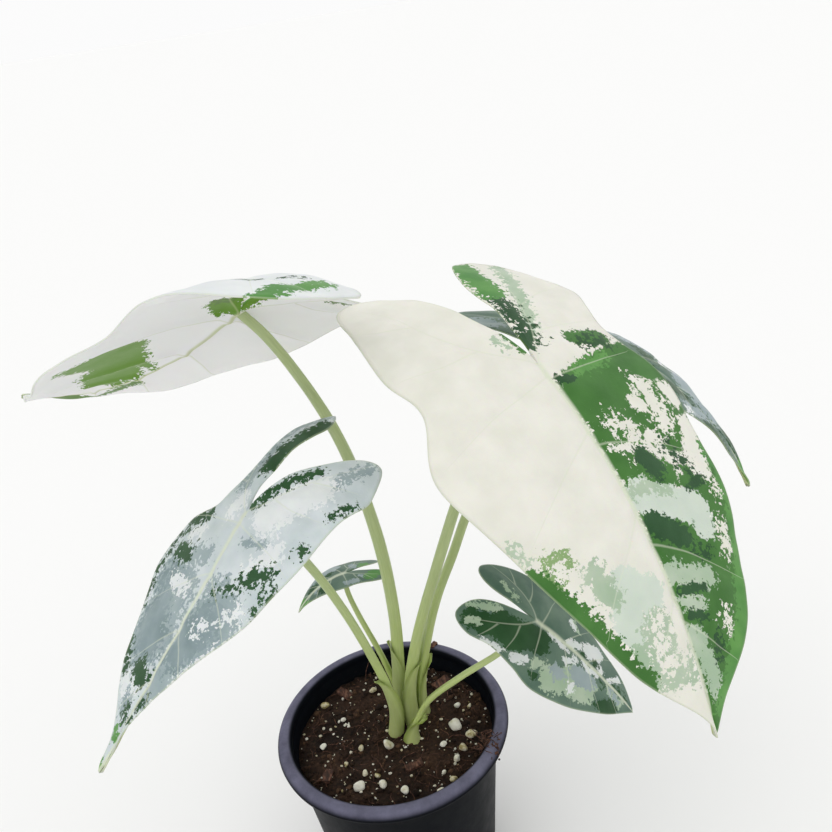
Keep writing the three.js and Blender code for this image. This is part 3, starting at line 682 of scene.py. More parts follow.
def blade_skin(name, leaf):
    material, tree, skin = new_material("leaf_tissue_" + name)
    flat = add(tree, "ShaderNodeUVMap", uv_map="flat").outputs["UV"]
    split = add(tree, "ShaderNodeSeparateXYZ", {0: flat})
    mottle = add(tree, "ShaderNodeTexNoise", {
        "Vector": flat, "Scale": 1 / MOTTLE, "Detail": 4, "Roughness": 0.68,
    })
    wander = add(tree, "ShaderNodeVectorMath", {0: mottle.outputs["Color"], 1: (1.6, 1.6, 1.6)},
                 operation="MULTIPLY")
    wandered = add(tree, "ShaderNodeVectorMath", {0: flat, 1: wander.outputs[0]}, operation="ADD")
    cells = add(tree, "ShaderNodeTexVoronoi", {
        "Vector": wandered.outputs[0], "Scale": 1 / CELL, "Randomness": 0.9,
    })
    random_cell = add(tree, "ShaderNodeSeparateColor", {0: cells.outputs["Color"]}).outputs[0]
    spread = add(tree, "ShaderNodeMapRange", {
        "Value": mottle.outputs[0], "From Min": 0.3, "From Max": 0.7, "To Min": -1.1, "To Max": 1.1,
    }, clamp=False)
    blocks = add(tree, "ShaderNodeMapRange", {"Value": random_cell, "To Min": -0.6, "To Max": 0.6})
    ragged = add(tree, "ShaderNodeMath", {0: spread.outputs[0], 1: blocks.outputs[0]}, operation="ADD")
    broad = add(tree, "ShaderNodeTexNoise", {"Vector": flat, "Scale": 1 / SHADE_DRIFT, "Detail": 3})
    shade = add(tree, "ShaderNodeMapRange", {
        "Value": broad.outputs[0], "From Min": 0.35, "From Max": 0.65,
    }).outputs[0]
    under = add(tree, "ShaderNodeAttribute", attribute_name="under").outputs["Fac"]

    colour = tissue_colour(tree, leaf["base"], shade, under)
    for number, (kind, raggedness, _, _) in enumerate(leaf["patches"]):
        depth = add(tree, "ShaderNodeAttribute", attribute_name=f"patch_{number}").outputs["Fac"]
        edge = add(tree, "ShaderNodeMath", {0: ragged.outputs[0], 1: raggedness, 2: depth},
                   operation="MULTIPLY_ADD")
        # a patch's edge is soft over less than half a millimetre
        inside = add(tree, "ShaderNodeMapRange", {
            "Value": edge.outputs[0], "From Min": -0.15, "From Max": 0.25,
        })
        colour = add(tree, "ShaderNodeMix", {
            0: inside.outputs[0], 6: colour, 7: tissue_colour(tree, kind, shade, under),
        }, data_type="RGBA").outputs[2]

    off = add(tree, "ShaderNodeAttribute", attribute_name="vein").outputs["Fac"]
    share = add(tree, "ShaderNodeAttribute", attribute_name="vein_share").outputs["Fac"]
    off = add(tree, "ShaderNodeMath", {0: off}, operation="ABSOLUTE").outputs[0]
    width = add(tree, "ShaderNodeMapRange", {
        "Value": share, "To Min": VEIN_LINE[0], "To Max": VEIN_LINE[1],
    })
    vein = add(tree, "ShaderNodeMapRange", {
        "Value": off, "From Min": 0, "From Max": width.outputs[0], "To Min": 0.42, "To Max": 0,
    }, interpolation_type="SMOOTHSTEP")
    pale = add(tree, "ShaderNodeMix", {0: under, 6: linear("#d3d9c3"), 7: linear("#c0c699")},
               data_type="RGBA").outputs[2]
    colour = add(tree, "ShaderNodeMix", {0: vein.outputs[0], 6: colour, 7: pale},
                 data_type="RGBA").outputs[2]
    from_rib = add(tree, "ShaderNodeMath", {0: split.outputs["X"]}, operation="ABSOLUTE").outputs[0]
    taper = add(tree, "ShaderNodeMapRange", {
        "Value": split.outputs["Y"], "From Min": 0, "From Max": leaf["length"],
        "To Min": MIDRIB_LINE[0], "To Max": MIDRIB_LINE[1],
    })
    midrib = add(tree, "ShaderNodeMapRange", {
        "Value": from_rib, "From Min": 0.2, "From Max": taper.outputs[0], "To Min": 0.85, "To Max": 0,
    }, interpolation_type="SMOOTHSTEP")
    in_front = add(tree, "ShaderNodeMapRange", {
        "Value": split.outputs["Y"], "From Min": -1.5, "From Max": 0,
    })
    midrib = add(tree, "ShaderNodeMath", {0: midrib.outputs[0], 1: in_front.outputs[0]},
                 operation="MULTIPLY")
    colour = add(tree, "ShaderNodeMix", {0: midrib.outputs[0], 6: colour, 7: pale},
                 data_type="RGBA").outputs[2]
    margin = add(tree, "ShaderNodeAttribute", attribute_name="margin").outputs["Fac"]
    rim = add(tree, "ShaderNodeMapRange", {
        "Value": margin, "From Min": 0.1, "From Max": 0.6, "To Min": 0.35, "To Max": 0,
    })
    colour = add(tree, "ShaderNodeMix", {0: rim.outputs[0], 6: colour, 7: linear("#c9d2b4")},
                 data_type="RGBA").outputs[2]
    tree.links.new(colour, skin.inputs["Base Color"])

    gloss = add(tree, "ShaderNodeMapRange", {
        "Value": mottle.outputs[0], "To Min": 0.36, "To Max": 0.56,
    })
    tree.links.new(gloss.outputs[0], skin.inputs["Roughness"])
    pebbles = add(tree, "ShaderNodeTexVoronoi", {"Vector": flat, "Scale": 1 / PEBBLE})
    bump = add(tree, "ShaderNodeBump", {
        "Height": pebbles.outputs["Distance"], "Strength": 0.22, "Distance": 0.12 * MM,
    })
    tree.links.new(bump.outputs[0], skin.inputs["Normal"])
    skin.inputs["IOR"].default_value = 1.42
    skin.inputs["Subsurface Weight"].default_value = 0.12
    skin.inputs["Subsurface Radius"].default_value = (0.6, 1, 0.3)
    skin.inputs["Subsurface Scale"].default_value = 1.2 * MM
    skin.inputs["Specular IOR Level"].default_value = 0.3
    return material


# ---- Stalks ---------------------------------------------------------------

STALK_SIDES = 28
STALK_STEPS = 110
FOOT_SHARE = 0.16  # share of a stalk's length where its swollen foot ends
FOOT_SINK = 7  # how deep a stalk's foot is under the soil's top
STALK_TOP = (0, 0.8, -1.2)  # where a stalk ends under its blade, in the leaf's own frame
FINE_STEPS = 24  # steps to each stretch of a stalk's line before it is evened out
CHANNEL_START = 0.1  # shares of a stalk's length where its channel starts to close and has closed
CHANNEL_END = 0.5
CHANNEL_DEPTH = 0.42  # shares of the stalk's radius
LIP_RISE = 0.16
LIP_TURN = 122  # degrees round from outward to the middle of a lip
LIP_WIDTH = 14
WOBBLE = 0.02
SHEATH_SIDES = 36
SHEATH_THICKNESS = 0.5
SHEATH_GAP = 0.25
TIP_LIFT = 0.5  # how far a sheath's tip stands off the stalk
NARROWEST = 0.0004  # keeps a sheath's tip from closing to a point


def stalk_points(leaf):
    """The stalk's own places, from its foot in the soil to the underside of its blade."""
    (x, y), *rest = leaf["stalk"]
    top = joint(leaf) + leaf_turn(leaf) @ Vector(STALK_TOP)
    foot = Vector((x, y, SOIL_TOP - FOOT_SINK))
    return [foot, *[Vector((a, b, SOIL_TOP + c)) for a, b, c in rest], top]


def evenly(points, count):
    """Places at even steps along the smooth line through the points. The line's knots are
    spaced by the square root of the distance, so that it doesn't loop between close points."""
    knots = [0]
    for a, b in zip(points, points[1:]):
        knots.append(knots[-1] + math.sqrt((b - a).length))
    ends = [2 * points[0] - points[1], *points, 2 * points[-1] - points[-2]]
    times = [-knots[1], *knots, 2 * knots[-1] - knots[-2]]
    fine = []
    for i in range(1, len(ends) - 2):
        for s in np.linspace(times[i], times[i + 1], FINE_STEPS, endpoint=False):
            a1 = ends[i - 1].lerp(ends[i], (s - times[i - 1]) / (times[i] - times[i - 1]))
            a2 = ends[i].lerp(ends[i + 1], (s - times[i]) / (times[i + 1] - times[i]))
            a3 = ends[i + 1].lerp(ends[i + 2], (s - times[i + 1]) / (times[i + 2] - times[i + 1]))
            b1 = a1.lerp(a2, (s - times[i - 1]) / (times[i + 1] - times[i - 1]))
            b2 = a2.lerp(a3, (s - times[i]) / (times[i + 2] - times[i]))
            fine.append(b1.lerp(b2, (s - times[i]) / (times[i + 1] - times[i])))
    fine = np.array([*fine, points[-1]])
    reached = np.concatenate([[0], np.cumsum(np.linalg.norm(np.diff(fine, axis=0), axis=1))])
    wanted = np.linspace(0, reached[-1], count)
    return [Vector(p) for p in np.stack([np.interp(wanted, reached, fine[:, k]) for k in range(3)], 1)]


def rolled(line, outward, section, span, sides):
    """A grid rolled round a line. section gives its radius for a turn and a share of the
    line, and span how far it reaches round to each side; turns are degrees from outward."""
    bm = bmesh.new()
    steps = len(line) - 1
    bmesh.ops.create_grid(bm, x_segments=sides, y_segments=steps, size=1)
    length_map = bm.loops.layers.uv.new("length")
    reached = [0]
    for a, b in zip(line, line[1:]):
        reached.append(reached[-1] + (b - a).length)
    for face in bm.faces:
        for loop in face.loops:
            row = round((loop.vert.co.y + 1) / 2 * steps)
            loop[length_map].uv = (loop.vert.co.x, reached[row])
    for v in bm.verts:
        row = round((v.co.y + 1) / 2 * steps)
        along = (line[min(row + 1, steps)] - line[max(row - 1, 0)]).normalized()
        out = (outward - outward.dot(along) * along).normalized()
        turn = v.co.x * span(row / steps)
        radius = section(turn, row / steps)
        angle = math.radians(turn)
        v.co = line[row] + radius * (math.cos(angle) * out + math.sin(angle) * out.cross(along))
    return bm


def smooth_share(value, low, high):
    """0 below low and 1 above high, with a smooth rise between them."""
    share = min(1, max(0, (value - low) / (high - low)))
    return share * share * (3 - 2 * share)


def stalk_radius(leaf, share):
    """A stalk's radius at a share of its length: a swollen foot, then an even taper."""
    foot, low, top = leaf["radii"]
    if share < FOOT_SHARE:
        return foot + (low - foot) * smooth_share(share, 0, FOOT_SHARE)
    return low + (top - low) * (share - FOOT_SHARE) / (1 - FOOT_SHARE)


def outward_of(leaf):
    """The level direction that a stalk leans in, away from the crown."""
    points = stalk_points(leaf)
    lean = points[-1] - points[0]
    return Vector((lean.x, lean.y, 0)).normalized()


def stalk(name, leaf, material):
    """A juicy stalk: round above, with a channel between two lips low down on its inner face."""
    line = evenly(stalk_points(leaf), STALK_STEPS)

    def section(turn, share):
        channel = 1 - smooth_share(share, CHANNEL_START, CHANNEL_END)
        inner = abs(turn)
        groove = -CHANNEL_DEPTH * smooth_share(inner, 128, 170)
        lip = LIP_RISE * math.exp(-((inner - LIP_TURN) / LIP_WIDTH) ** 2)
        wobble = WOBBLE * noise.noise((share * 14, turn / 60, leaf["length"]))
        return stalk_radius(leaf, share) * (1 + channel * (groove + lip) + wobble)

    bm = rolled(line, outward_of(leaf), section, lambda share: 180, STALK_SIDES)
    bmesh.ops.remove_doubles(bm, verts=bm.verts, dist=0.004)
    bmesh.ops.holes_fill(bm, edges=[e for e in bm.edges if e.is_boundary], sides=0)
    bmesh.ops.recalc_face_normals(bm, faces=bm.faces)
    bmesh.ops.scale(bm, verts=bm.verts, vec=(MM, MM, MM))
    piece = finish_piece(bm, "stalk_piece_" + name, material)
    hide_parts("stalk_" + name)


def sheath(name, leaf, material):
    """The thin collar that wraps a stalk's foot: open inwards, running up to a free tip."""
    height, reach, stand_off = leaf["sheath"]
    points = evenly(stalk_points(leaf), STALK_STEPS)
    rows = [p for p in points if p.z < SOIL_TOP + height]
    share_of = len(rows) / len(points)

    def section(turn, share):
        edge = (abs(turn) / max(1, span(share))) ** 4
        flare = stand_off * edge * smooth_share(share, 0.05, 0.5)
        tip = TIP_LIFT * smooth_share(share, 0.8, 1)
        return stalk_radius(leaf, share * share_of) * 1.03 + SHEATH_GAP + flare + tip

    def span(share):
        return reach * math.sqrt(max(NARROWEST, 1 - share ** 2.2))

    bm = rolled(rows, outward_of(leaf), section, span, SHEATH_SIDES)
    bmesh.ops.solidify(bm, geom=bm.verts[:] + bm.edges[:] + bm.faces[:], thickness=SHEATH_THICKNESS)
    bmesh.ops.recalc_face_normals(bm, faces=bm.faces)
    bmesh.ops.scale(bm, verts=bm.verts, vec=(MM, MM, MM))
    finish_piece(bm, "sheath_" + name, material)


# Leaf stalk: watery green tissue under a smooth skin. It shines softly, is paler low down, and has fine
# streaks along its length where the vessels run. Its inner face low down, in the crevice between the
# stalks, carries painted shade in a dull yellow-green.
def stalk_skin():
    material, tree, skin = new_material("stalk_tissue")
    length_map = add(tree, "ShaderNodeUVMap", uv_map="length").outputs["UV"]
    place = add(tree, "ShaderNodeSeparateXYZ", {0: length_map})
    streaks = add(tree, "ShaderNodeMapping", {"Vector": length_map, "Scale": (16, 0.09, 1)})
    vessel = add(tree, "ShaderNodeTexNoise", {
        "Vector": streaks.outputs[0], "Scale": 1, "Detail": 3, "Roughness": 0.6,
    })
    blotch = add(tree, "ShaderNodeTexNoise", {"Vector": length_map, "Scale": 0.16, "Detail": 2})
    height = add(tree, "ShaderNodeMath", {0: blotch.outputs[0], 1: 26.0, 2: place.outputs["Y"]},
                 operation="MULTIPLY_ADD")
    up = add(tree, "ShaderNodeMapRange", {"Value": height.outputs[0], "From Min": 12, "From Max": 150})
    colour = add(tree, "ShaderNodeValToRGB", {0: up.outputs[0]}, stops=[
        (0, "#c6d47c"), (0.25, "#b3c374"), (0.6, "#a8b87b"), (1, "#a3b280"),
    ])
    streaked = add(tree, "ShaderNodeMapRange", {
        "Value": vessel.outputs[0], "From Min": 0.35, "From Max": 0.7, "To Min": 0, "To Max": 0.45,
    })
    light = add(tree, "ShaderNodeMix", {
        0: streaked.outputs[0], 6: colour.outputs[0], 7: linear("#c6cf9a"),
    }, data_type="RGBA")
    # painted shade: each stalk's inner face low down, in the crevice between the stalks, is darkened to a
    # dull yellow-green
    inner = add(tree, "ShaderNodeMath", {0: place.outputs["X"]}, operation="ABSOLUTE")
    inner = add(tree, "ShaderNodeMapRange", {
        "Value": inner.outputs[0], "From Min": 0.7, "From Max": 0.95, "To Min": 0, "To Max": 0.75,
    })
    low = add(tree, "ShaderNodeMapRange", {
        "Value": place.outputs["Y"], "From Min": 20, "From Max": 70, "To Min": 1, "To Max": 0,
    })
    cleft_shade = add(tree, "ShaderNodeMath", {0: inner.outputs[0], 1: low.outputs[0]}, operation="MULTIPLY")
    final = add(tree, "ShaderNodeMix", {
        0: cleft_shade.outputs[0], 6: light.outputs[2], 7: linear("#71862a"),
    }, data_type="RGBA")
    tree.links.new(final.outputs[2], skin.inputs["Base Color"])
    skin.inputs["Roughness"].default_value = 0.38
    skin.inputs["IOR"].default_value = 1.42
    skin.inputs["Subsurface Weight"].default_value = 0.2
    skin.inputs["Subsurface Radius"].default_value = (0.8, 1, 0.3)
    skin.inputs["Subsurface Scale"].default_value = 2 * MM
    bump = add(tree, "ShaderNodeBump", {
        "Height": vessel.outputs[0], "Strength": 0.3, "Distance": 0.25 * MM,
    })
    tree.links.new(bump.outputs[0], skin.inputs["Normal"])
    return material


# ---- Pot ------------------------------------------------------------------

POT_STEPS = 192
ROUND_STEPS = 8
HOLE_STEPS = 40
BASE_RING = 9 * MM  # the ring that the pot stands on, in from its edge
BASE_HOLLOW = 0.6 * MM
LEDGE_DEPTH = 4.5 * MM  # down from the rim's top to the ledge inside it
LEDGE_STEP = 0.6 * MM


def arc(centre, radius, start, end):
    """Points round part of a circle in the profile, from one angle in degrees to another."""
    turns = [math.radians(start + (end - start) * i / ROUND_STEPS) for i in range(ROUND_STEPS + 1)]
    return [(centre[0] + radius * math.cos(t), centre[1] + radius * math.sin(t)) for t in turns]


def spun(profile, steps):
    """A body turned about the pot's axis from a profile of (radius, height) that ends on it."""
    bm = bmesh.new()
    corners = [bm.verts.new((r, 0, z)) for r, z in profile]
    edges = [bm.edges.new(pair) for pair in zip(corners, corners[1:])]
    bmesh.ops.spin(bm, geom=corners + edges, cent=(0, 0, 0), axis=(0, 0, 1), dvec=(0, 0, 0),
                   angle=2 * math.pi, steps=steps, use_merge=True, use_duplicate=False)
    bmesh.ops.remove_doubles(bm, verts=bm.verts, dist=0.01 * MM)
    bmesh.ops.recalc_face_normals(bm, faces=bm.faces)
    return bm


def pot(material):
    """The pot: turned from a profile that starts under its floor, with drain holes cut."""
    inside = RIM_RADIUS - RIM_WIDTH
    under_rim = RIM_TOP - RIM_DEPTH
    ledge = RIM_TOP - LEDGE_DEPTH
    profile = [
        (0, BASE_HOLLOW), (BASE_RADIUS - BASE_RING, BASE_HOLLOW), (BASE_RADIUS - BASE_RING + 1 * MM, 0),
        *arc((BASE_RADIUS - BASE_ROUND, BASE_ROUND), BASE_ROUND, -90, 0),
        (inside + WALL, under_rim), (RIM_RADIUS - 1.2 * MM, under_rim),
        (RIM_RADIUS - 0.3 * MM, under_rim + 0.3 * MM),
        *arc((RIM_RADIUS - 2 * RIM_ROUND, RIM_TOP - 2 * RIM_ROUND), 2 * RIM_ROUND, 8, 84),
        *arc((inside + 1.5 * RIM_ROUND, RIM_TOP - 1.5 * RIM_ROUND), 1.5 * RIM_ROUND, 92, 180),
        (inside, ledge), (inside - LEDGE_STEP, ledge - LEDGE_STEP),
        (BASE_RADIUS - WALL, FLOOR), (0, FLOOR),
    ]
    bm = spun(profile, POT_STEPS)
    piece = finish_piece(bm, "pot_body", material)
    cutter_bm = bmesh.new()
    for i in range(DRAIN_HOLES):
        turn = (i + 0.5) / DRAIN_HOLES * 2 * math.pi
        place = Vector((DRAIN_RING * math.cos(turn), DRAIN_RING * math.sin(turn), FLOOR / 2))
        bmesh.ops.create_cone(cutter_bm, cap_ends=True, segments=HOLE_STEPS, radius1=DRAIN_RADIUS,
                              radius2=DRAIN_RADIUS, depth=4 * FLOOR, matrix=Matrix.Translation(place))
    cutter = finish_piece(cutter_bm, "drain_cutter", material)
    cut = piece.modifiers.new("drain", "BOOLEAN")
    cut.object = cutter
    cut.solver = "EXACT"
    made = bpy.data.meshes.new_from_object(piece.evaluated_get(bpy.context.evaluated_depsgraph_get()))
    piece.modifiers.clear()
    piece.data = made
    bpy.data.objects.remove(cutter)
    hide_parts("pot")


# Polypropylene, injection moulded: nearly black with a blue cast, almost no shine, faint flow bands round
# the wall and specks of dust. The lavender grey on the rounded top of the rim is a painted highlight,
# broken up by noise.
def pot_plastic():
    material, tree, skin = new_material("polypropylene_moulded")
    place = add(tree, "ShaderNodeTexCoord").outputs["Object"]
    height = add(tree, "ShaderNodeSeparateXYZ", {0: place}).outputs["Z"]
    highlight_and_gloss_noise = add(tree, "ShaderNodeTexNoise", {
        "Vector": place, "Scale": 1 / (11 * MM), "Detail": 5, "Roughness": 0.7,
    })
    # painted highlight: the rounded upper lip of the rim, where the light falls, is made lavender grey,
    # broken up by noise
    on_rim = add(tree, "ShaderNodeMapRange", {
        "Value": height, "From Min": RIM_TOP - 3.4 * MM, "From Max": RIM_TOP - 0.5 * MM,
    }, interpolation_type="SMOOTHSTEP")
    highlight_breakup = add(tree, "ShaderNodeMapRange", {
        "Value": highlight_and_gloss_noise.outputs[0], "From Min": 0.25, "From Max": 0.7, "To Min": 0.45, "To Max": 1,
    })
    level = add(tree, "ShaderNodeVectorMath", {0: place, 1: (1, 1, 0)}, operation="MULTIPLY")
    radius = add(tree, "ShaderNodeVectorMath", {0: level.outputs[0]}, operation="LENGTH").outputs["Value"]
    ridge = add(tree, "ShaderNodeMapRange", {
        "Value": radius, "From Min": RIM_RADIUS - 6.4 * MM, "From Max": RIM_RADIUS - 4.8 * MM,
    }, interpolation_type="SMOOTHSTEP")
    highlight_band = add(tree, "ShaderNodeMath", {0: on_rim.outputs[0], 1: ridge.outputs[0]}, operation="MULTIPLY")
    grey = add(tree, "ShaderNodeMath", {0: highlight_band.outputs[0], 1: highlight_breakup.outputs[0]}, operation="MULTIPLY")
    flow = add(tree, "ShaderNodeMapping", {"Vector": place, "Scale": (12, 12, 240)})
    bands = add(tree, "ShaderNodeTexNoise", {"Vector": flow.outputs[0], "Scale": 1, "Detail": 2})
    wall = add(tree, "ShaderNodeMix", {
        0: bands.outputs[0], 6: linear("#07090d"), 7: linear("#101319"),
    }, data_type="RGBA")
    specks = add(tree, "ShaderNodeTexNoise", {"Vector": place, "Scale": 1 / (1.6 * MM), "Detail": 3})
    dust = add(tree, "ShaderNodeMapRange", {
        "Value": specks.outputs[0], "From Min": 0.6, "From Max": 0.78, "To Min": 0, "To Max": 0.35,
    })
    dusted = add(tree, "ShaderNodeMix", {
        0: dust.outputs[0], 6: wall.outputs[2], 7: linear("#2c2521"),
    }, data_type="RGBA")
    # the lavender grey here is the painted highlight on the rim's top
    final = add(tree, "ShaderNodeMix", {
        0: grey.outputs[0], 6: dusted.outputs[2], 7: linear("#747388"),
    }, data_type="RGBA")
    tree.links.new(final.outputs[2], skin.inputs["Base Color"])
    rough = add(tree, "ShaderNodeMapRange", {"Value": highlight_and_gloss_noise.outputs[0], "To Min": 0.28, "To Max": 0.55})
    tree.links.new(rough.outputs[0], skin.inputs["Roughness"])
    bump = add(tree, "ShaderNodeBump", {
        "Height": specks.outputs[0], "Strength": 0.15, "Distance": 0.15 * MM,
    })
    tree.links.new(bump.outputs[0], skin.inputs["Normal"])
    skin.inputs["IOR"].default_value = 1.49
    skin.inputs["Specular IOR Level"].default_value = 0.02
    return material


# ---- Soil and what lies on it ---------------------------------------------

SOIL_RINGS = 62
SOIL_STEPS = 250
SOIL_FOOT = 3 * MM  # the soil's underside, above the pot's floor
SOIL_GAP = 0.4 * MM
CROWN = (8 * MM, 5 * MM)  # where the stalks rise from the soil
CROWN_RADIUS = 9 * MM
CRUMBS = [(170, 1.8, 3.6, 2), (620, 0.7, 1.8, 1)]  # count, least and greatest size, detail
GRIT_GRAINS = 300


def soil_height(x, y):
    """Height of the loose surface at a place, in metres."""
    off = math.hypot(x, y) / SOIL_RADIUS
    a, b = x / MM, y / MM
    lumps = 1.5 * noise.noise((a / 13, b / 13, 3)) + 0.9 * noise.noise((a / 5, b / 5, 8))
    crumbs = 0.55 * noise.noise((a / 2.1, b / 2.1, 1)) + 0.3 * noise.noise((a / 0.9, b / 0.9, 5))
    sunk = -1.6 * max(0, off - 0.86) / 0.14
    return SOIL_LEVEL - SOIL_CROWN * off ** 2 + (lumps + crumbs + sunk - 0.6) * MM


def soil_bed(material):
    """The soil as one mass: a lumpy top, and sides that follow the pot's wall."""
    top = [(SOIL_RADIUS * i / SOIL_RINGS, SOIL_LEVEL) for i in range(SOIL_RINGS + 1)]
    foot = [(BASE_RADIUS - WALL - SOIL_GAP, SOIL_FOOT), (0, SOIL_FOOT)]
    bm = spun(top + foot, SOIL_STEPS)
    for v in bm.verts:
        if v.co.z > SOIL_LEVEL - 0.1 * MM:
            v.co.z = soil_height(v.co.x, v.co.y)
    piece = finish_piece(bm, "soil_bed", material)
    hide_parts("soil")


# Peat and composted bark: matt, nearly black brown, redder where the fibre is dry, with
# grains too fine to model drawn as a rough bump.
def soil_mix():
    material, tree, skin = new_material("peat_and_bark")
    place = add(tree, "ShaderNodeTexCoord").outputs["Object"]
    damp = add(tree, "ShaderNodeTexNoise", {"Vector": place, "Scale": 1 / (16 * MM), "Detail": 3})
    grain = add(tree, "ShaderNodeTexNoise", {
        "Vector": place, "Scale": 1 / (1.3 * MM), "Detail": 6, "Roughness": 0.7,
    })
    shade = add(tree, "ShaderNodeAttribute", attribute_name="shade").outputs["Fac"]
    mixed = add(tree, "ShaderNodeMath", {0: damp.outputs[0], 1: 0.55, 2: shade}, operation="MULTIPLY_ADD")
    tone = add(tree, "ShaderNodeMath", {0: grain.outputs[0], 1: 0.7, 2: mixed.outputs[0]},
               operation="MULTIPLY_ADD")
    brown = add(tree, "ShaderNodeValToRGB", {0: tone.outputs[0]}, stops=[
        (0.35, "#0e0a08"), (0.55, "#20150f"), (0.72, "#3a281d"), (0.92, "#624936"),
    ])
    tree.links.new(brown.outputs[0], skin.inputs["Base Color"])
    skin.inputs["Roughness"].default_value = 0.92
    skin.inputs["Specular IOR Level"].default_value = 0.25
    bump = add(tree, "ShaderNodeBump", {
        "Height": grain.outputs[0], "Strength": 0.9, "Distance": 0.8 * MM,
    })
    tree.links.new(bump.outputs[0], skin.inputs["Normal"])
    return material


def lump(bm, layer, place, size, detail, roughness, shade, draw):
    """One irregular grain: a ball squashed, turned and knocked about by noise."""
    turn = Matrix.Rotation(draw.uniform(0, 2 * math.pi), 4, draw.choice("XYZ"))
    stretch = Matrix.Diagonal((1, draw.uniform(0.65, 1), draw.uniform(0.55, 0.9), 1))
    seat = Matrix.Translation(place) @ turn @ stretch
    made = bmesh.ops.create_icosphere(bm, subdivisions=detail, radius=size / 2, matrix=seat)
    for v in made["verts"]:
        away = v.co - place
        bend = noise.noise(away * (1.6 / size) + place * 900)
        v.co = place + away * (1 + roughness * bend)
        v[layer] = shade


def on_soil(draw, edge=0.97):
    """A random place on the soil, clear of the stalks."""
    while True:
        turn = draw.uniform(0, 2 * math.pi)
        off = SOIL_RADIUS * edge * math.sqrt(draw.random())
        x, y = off * math.cos(turn), off * math.sin(turn)
        if math.hypot(x - CROWN[0], y - CROWN[1]) > CROWN_RADIUS:
            return x, y


def soil_crumbs(material):
    """Loose crumbs of the mix on its surface."""
    draw = random.Random(11)
    bm = bmesh.new()
    layer = bm.verts.layers.float.new("shade")
    for count, low, high, detail in CRUMBS:
        for _ in range(count):
            x, y = on_soil(draw)
            size = draw.uniform(low, high) * MM
            place = Vector((x, y, soil_height(x, y) + 0.12 * size))
            lump(bm, layer, place, size, detail, 0.5, draw.uniform(-0.12, 0.22), draw)
    finish_piece(bm, "soil_crumbs", material, smooth=False)


def grit(material):
    """Fine white grit, down to dust."""
    draw = random.Random(5)
    bm = bmesh.new()
    layer = bm.verts.layers.float.new("shade")
    for _ in range(GRIT_GRAINS):
        x, y = on_soil(draw)
        size = (0.5 + 1.5 * draw.random() ** 2.2) * MM
        place = Vector((x, y, soil_height(x, y) + 0.3 * size))
        lump(bm, layer, place, size, 1, 0.45, 0.8 * draw.random(), draw)
    finish_piece(bm, "perlite_grit", material, smooth=False)


def perlite(material):
    """The larger grains, each where the frame has it."""
    draw = random.Random(3)
    bm = bmesh.new()
    layer = bm.verts.layers.float.new("shade")
    names = sorted(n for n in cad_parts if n.startswith("perlite_"))
    for name in names:
        low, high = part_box(name)
        centre = (low + high) / 2
        lump(bm, layer, centre, 0.96 * (high.x - low.x), 3, 0.55, draw.random() ** 1.6, draw)
    piece = finish_piece(bm, "perlite_grains", material)
    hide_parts(*names)


# Perlite: glass puffed by heat. Chalky off-white, pitted, stained yellow by the peat.
def perlite_glass():
    material, tree, skin = new_material("expanded_perlite")
    place = add(tree, "ShaderNodeTexCoord").outputs["Object"]
    shade = add(tree, "ShaderNodeAttribute", attribute_name="shade").outputs["Fac"]
    stain = add(tree, "ShaderNodeTexNoise", {"Vector": place, "Scale": 1 / (2.2 * MM), "Detail": 4})
    much = add(tree, "ShaderNodeMath", {0: shade, 1: 0.5, 2: stain.outputs[0]}, operation="MULTIPLY_ADD")
    colour = add(tree, "ShaderNodeValToRGB", {0: much.outputs[0]}, stops=[
        (0.55, "#e9e6da"), (0.8, "#dcd6be"), (0.95, "#c0b48a"), (1, "#9a8d60"),
    ])
    tree.links.new(colour.outputs[0], skin.inputs["Base Color"])
    skin.inputs["Roughness"].default_value = 0.85
    pits = add(tree, "ShaderNodeTexVoronoi", {"Vector": place, "Scale": 1 / (0.7 * MM)})
    bump = add(tree, "ShaderNodeBump", {
        "Height": pits.outputs["Distance"], "Strength": 0.6, "Distance": 0.4 * MM,
    })
    tree.links.new(bump.outputs[0], skin.inputs["Normal"])
    return material


BARK_CUTS = 7
BARK_GRAIN = 2.4 * MM  # how far apart the bumps on a chip are
BARK_BUMP = 0.5 * MM


def roughen(bm, grain, bump):
    """Moves each place by noise: grain is how far apart the bumps are, bump how high."""
    for v in bm.verts:
        v.co += noise.noise_vector(v.co * (1 / grain)) * bump


def bark(material):
    """Chips of bark, each where the frame has it: a cut block broken up by noise."""
    bm = bmesh.new()
    names = sorted(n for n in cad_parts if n.startswith("bark_chip_"))
    for name in names:
        copy = bmesh.new()
        copy.from_mesh(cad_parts[name].data)
        bmesh.ops.remove_doubles(copy, verts=copy.verts, dist=0.01 * MM)
        bmesh.ops.dissolve_limit(copy, angle_limit=0.05, verts=copy.verts, edges=copy.edges)
        bmesh.ops.subdivide_edges(copy, edges=copy.edges, cuts=BARK_CUTS, use_grid_fill=True)
        roughen(copy, BARK_GRAIN, BARK_BUMP)
        made = bpy.data.meshes.new(name)
        copy.to_mesh(made)
        copy.free()
        bm.from_mesh(made)
        bpy.data.meshes.remove(made)
    bmesh.ops.recalc_face_normals(bm, faces=bm.faces)
    piece = finish_piece(bm, "bark_pieces", material, smooth=False)
    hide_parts(*names)


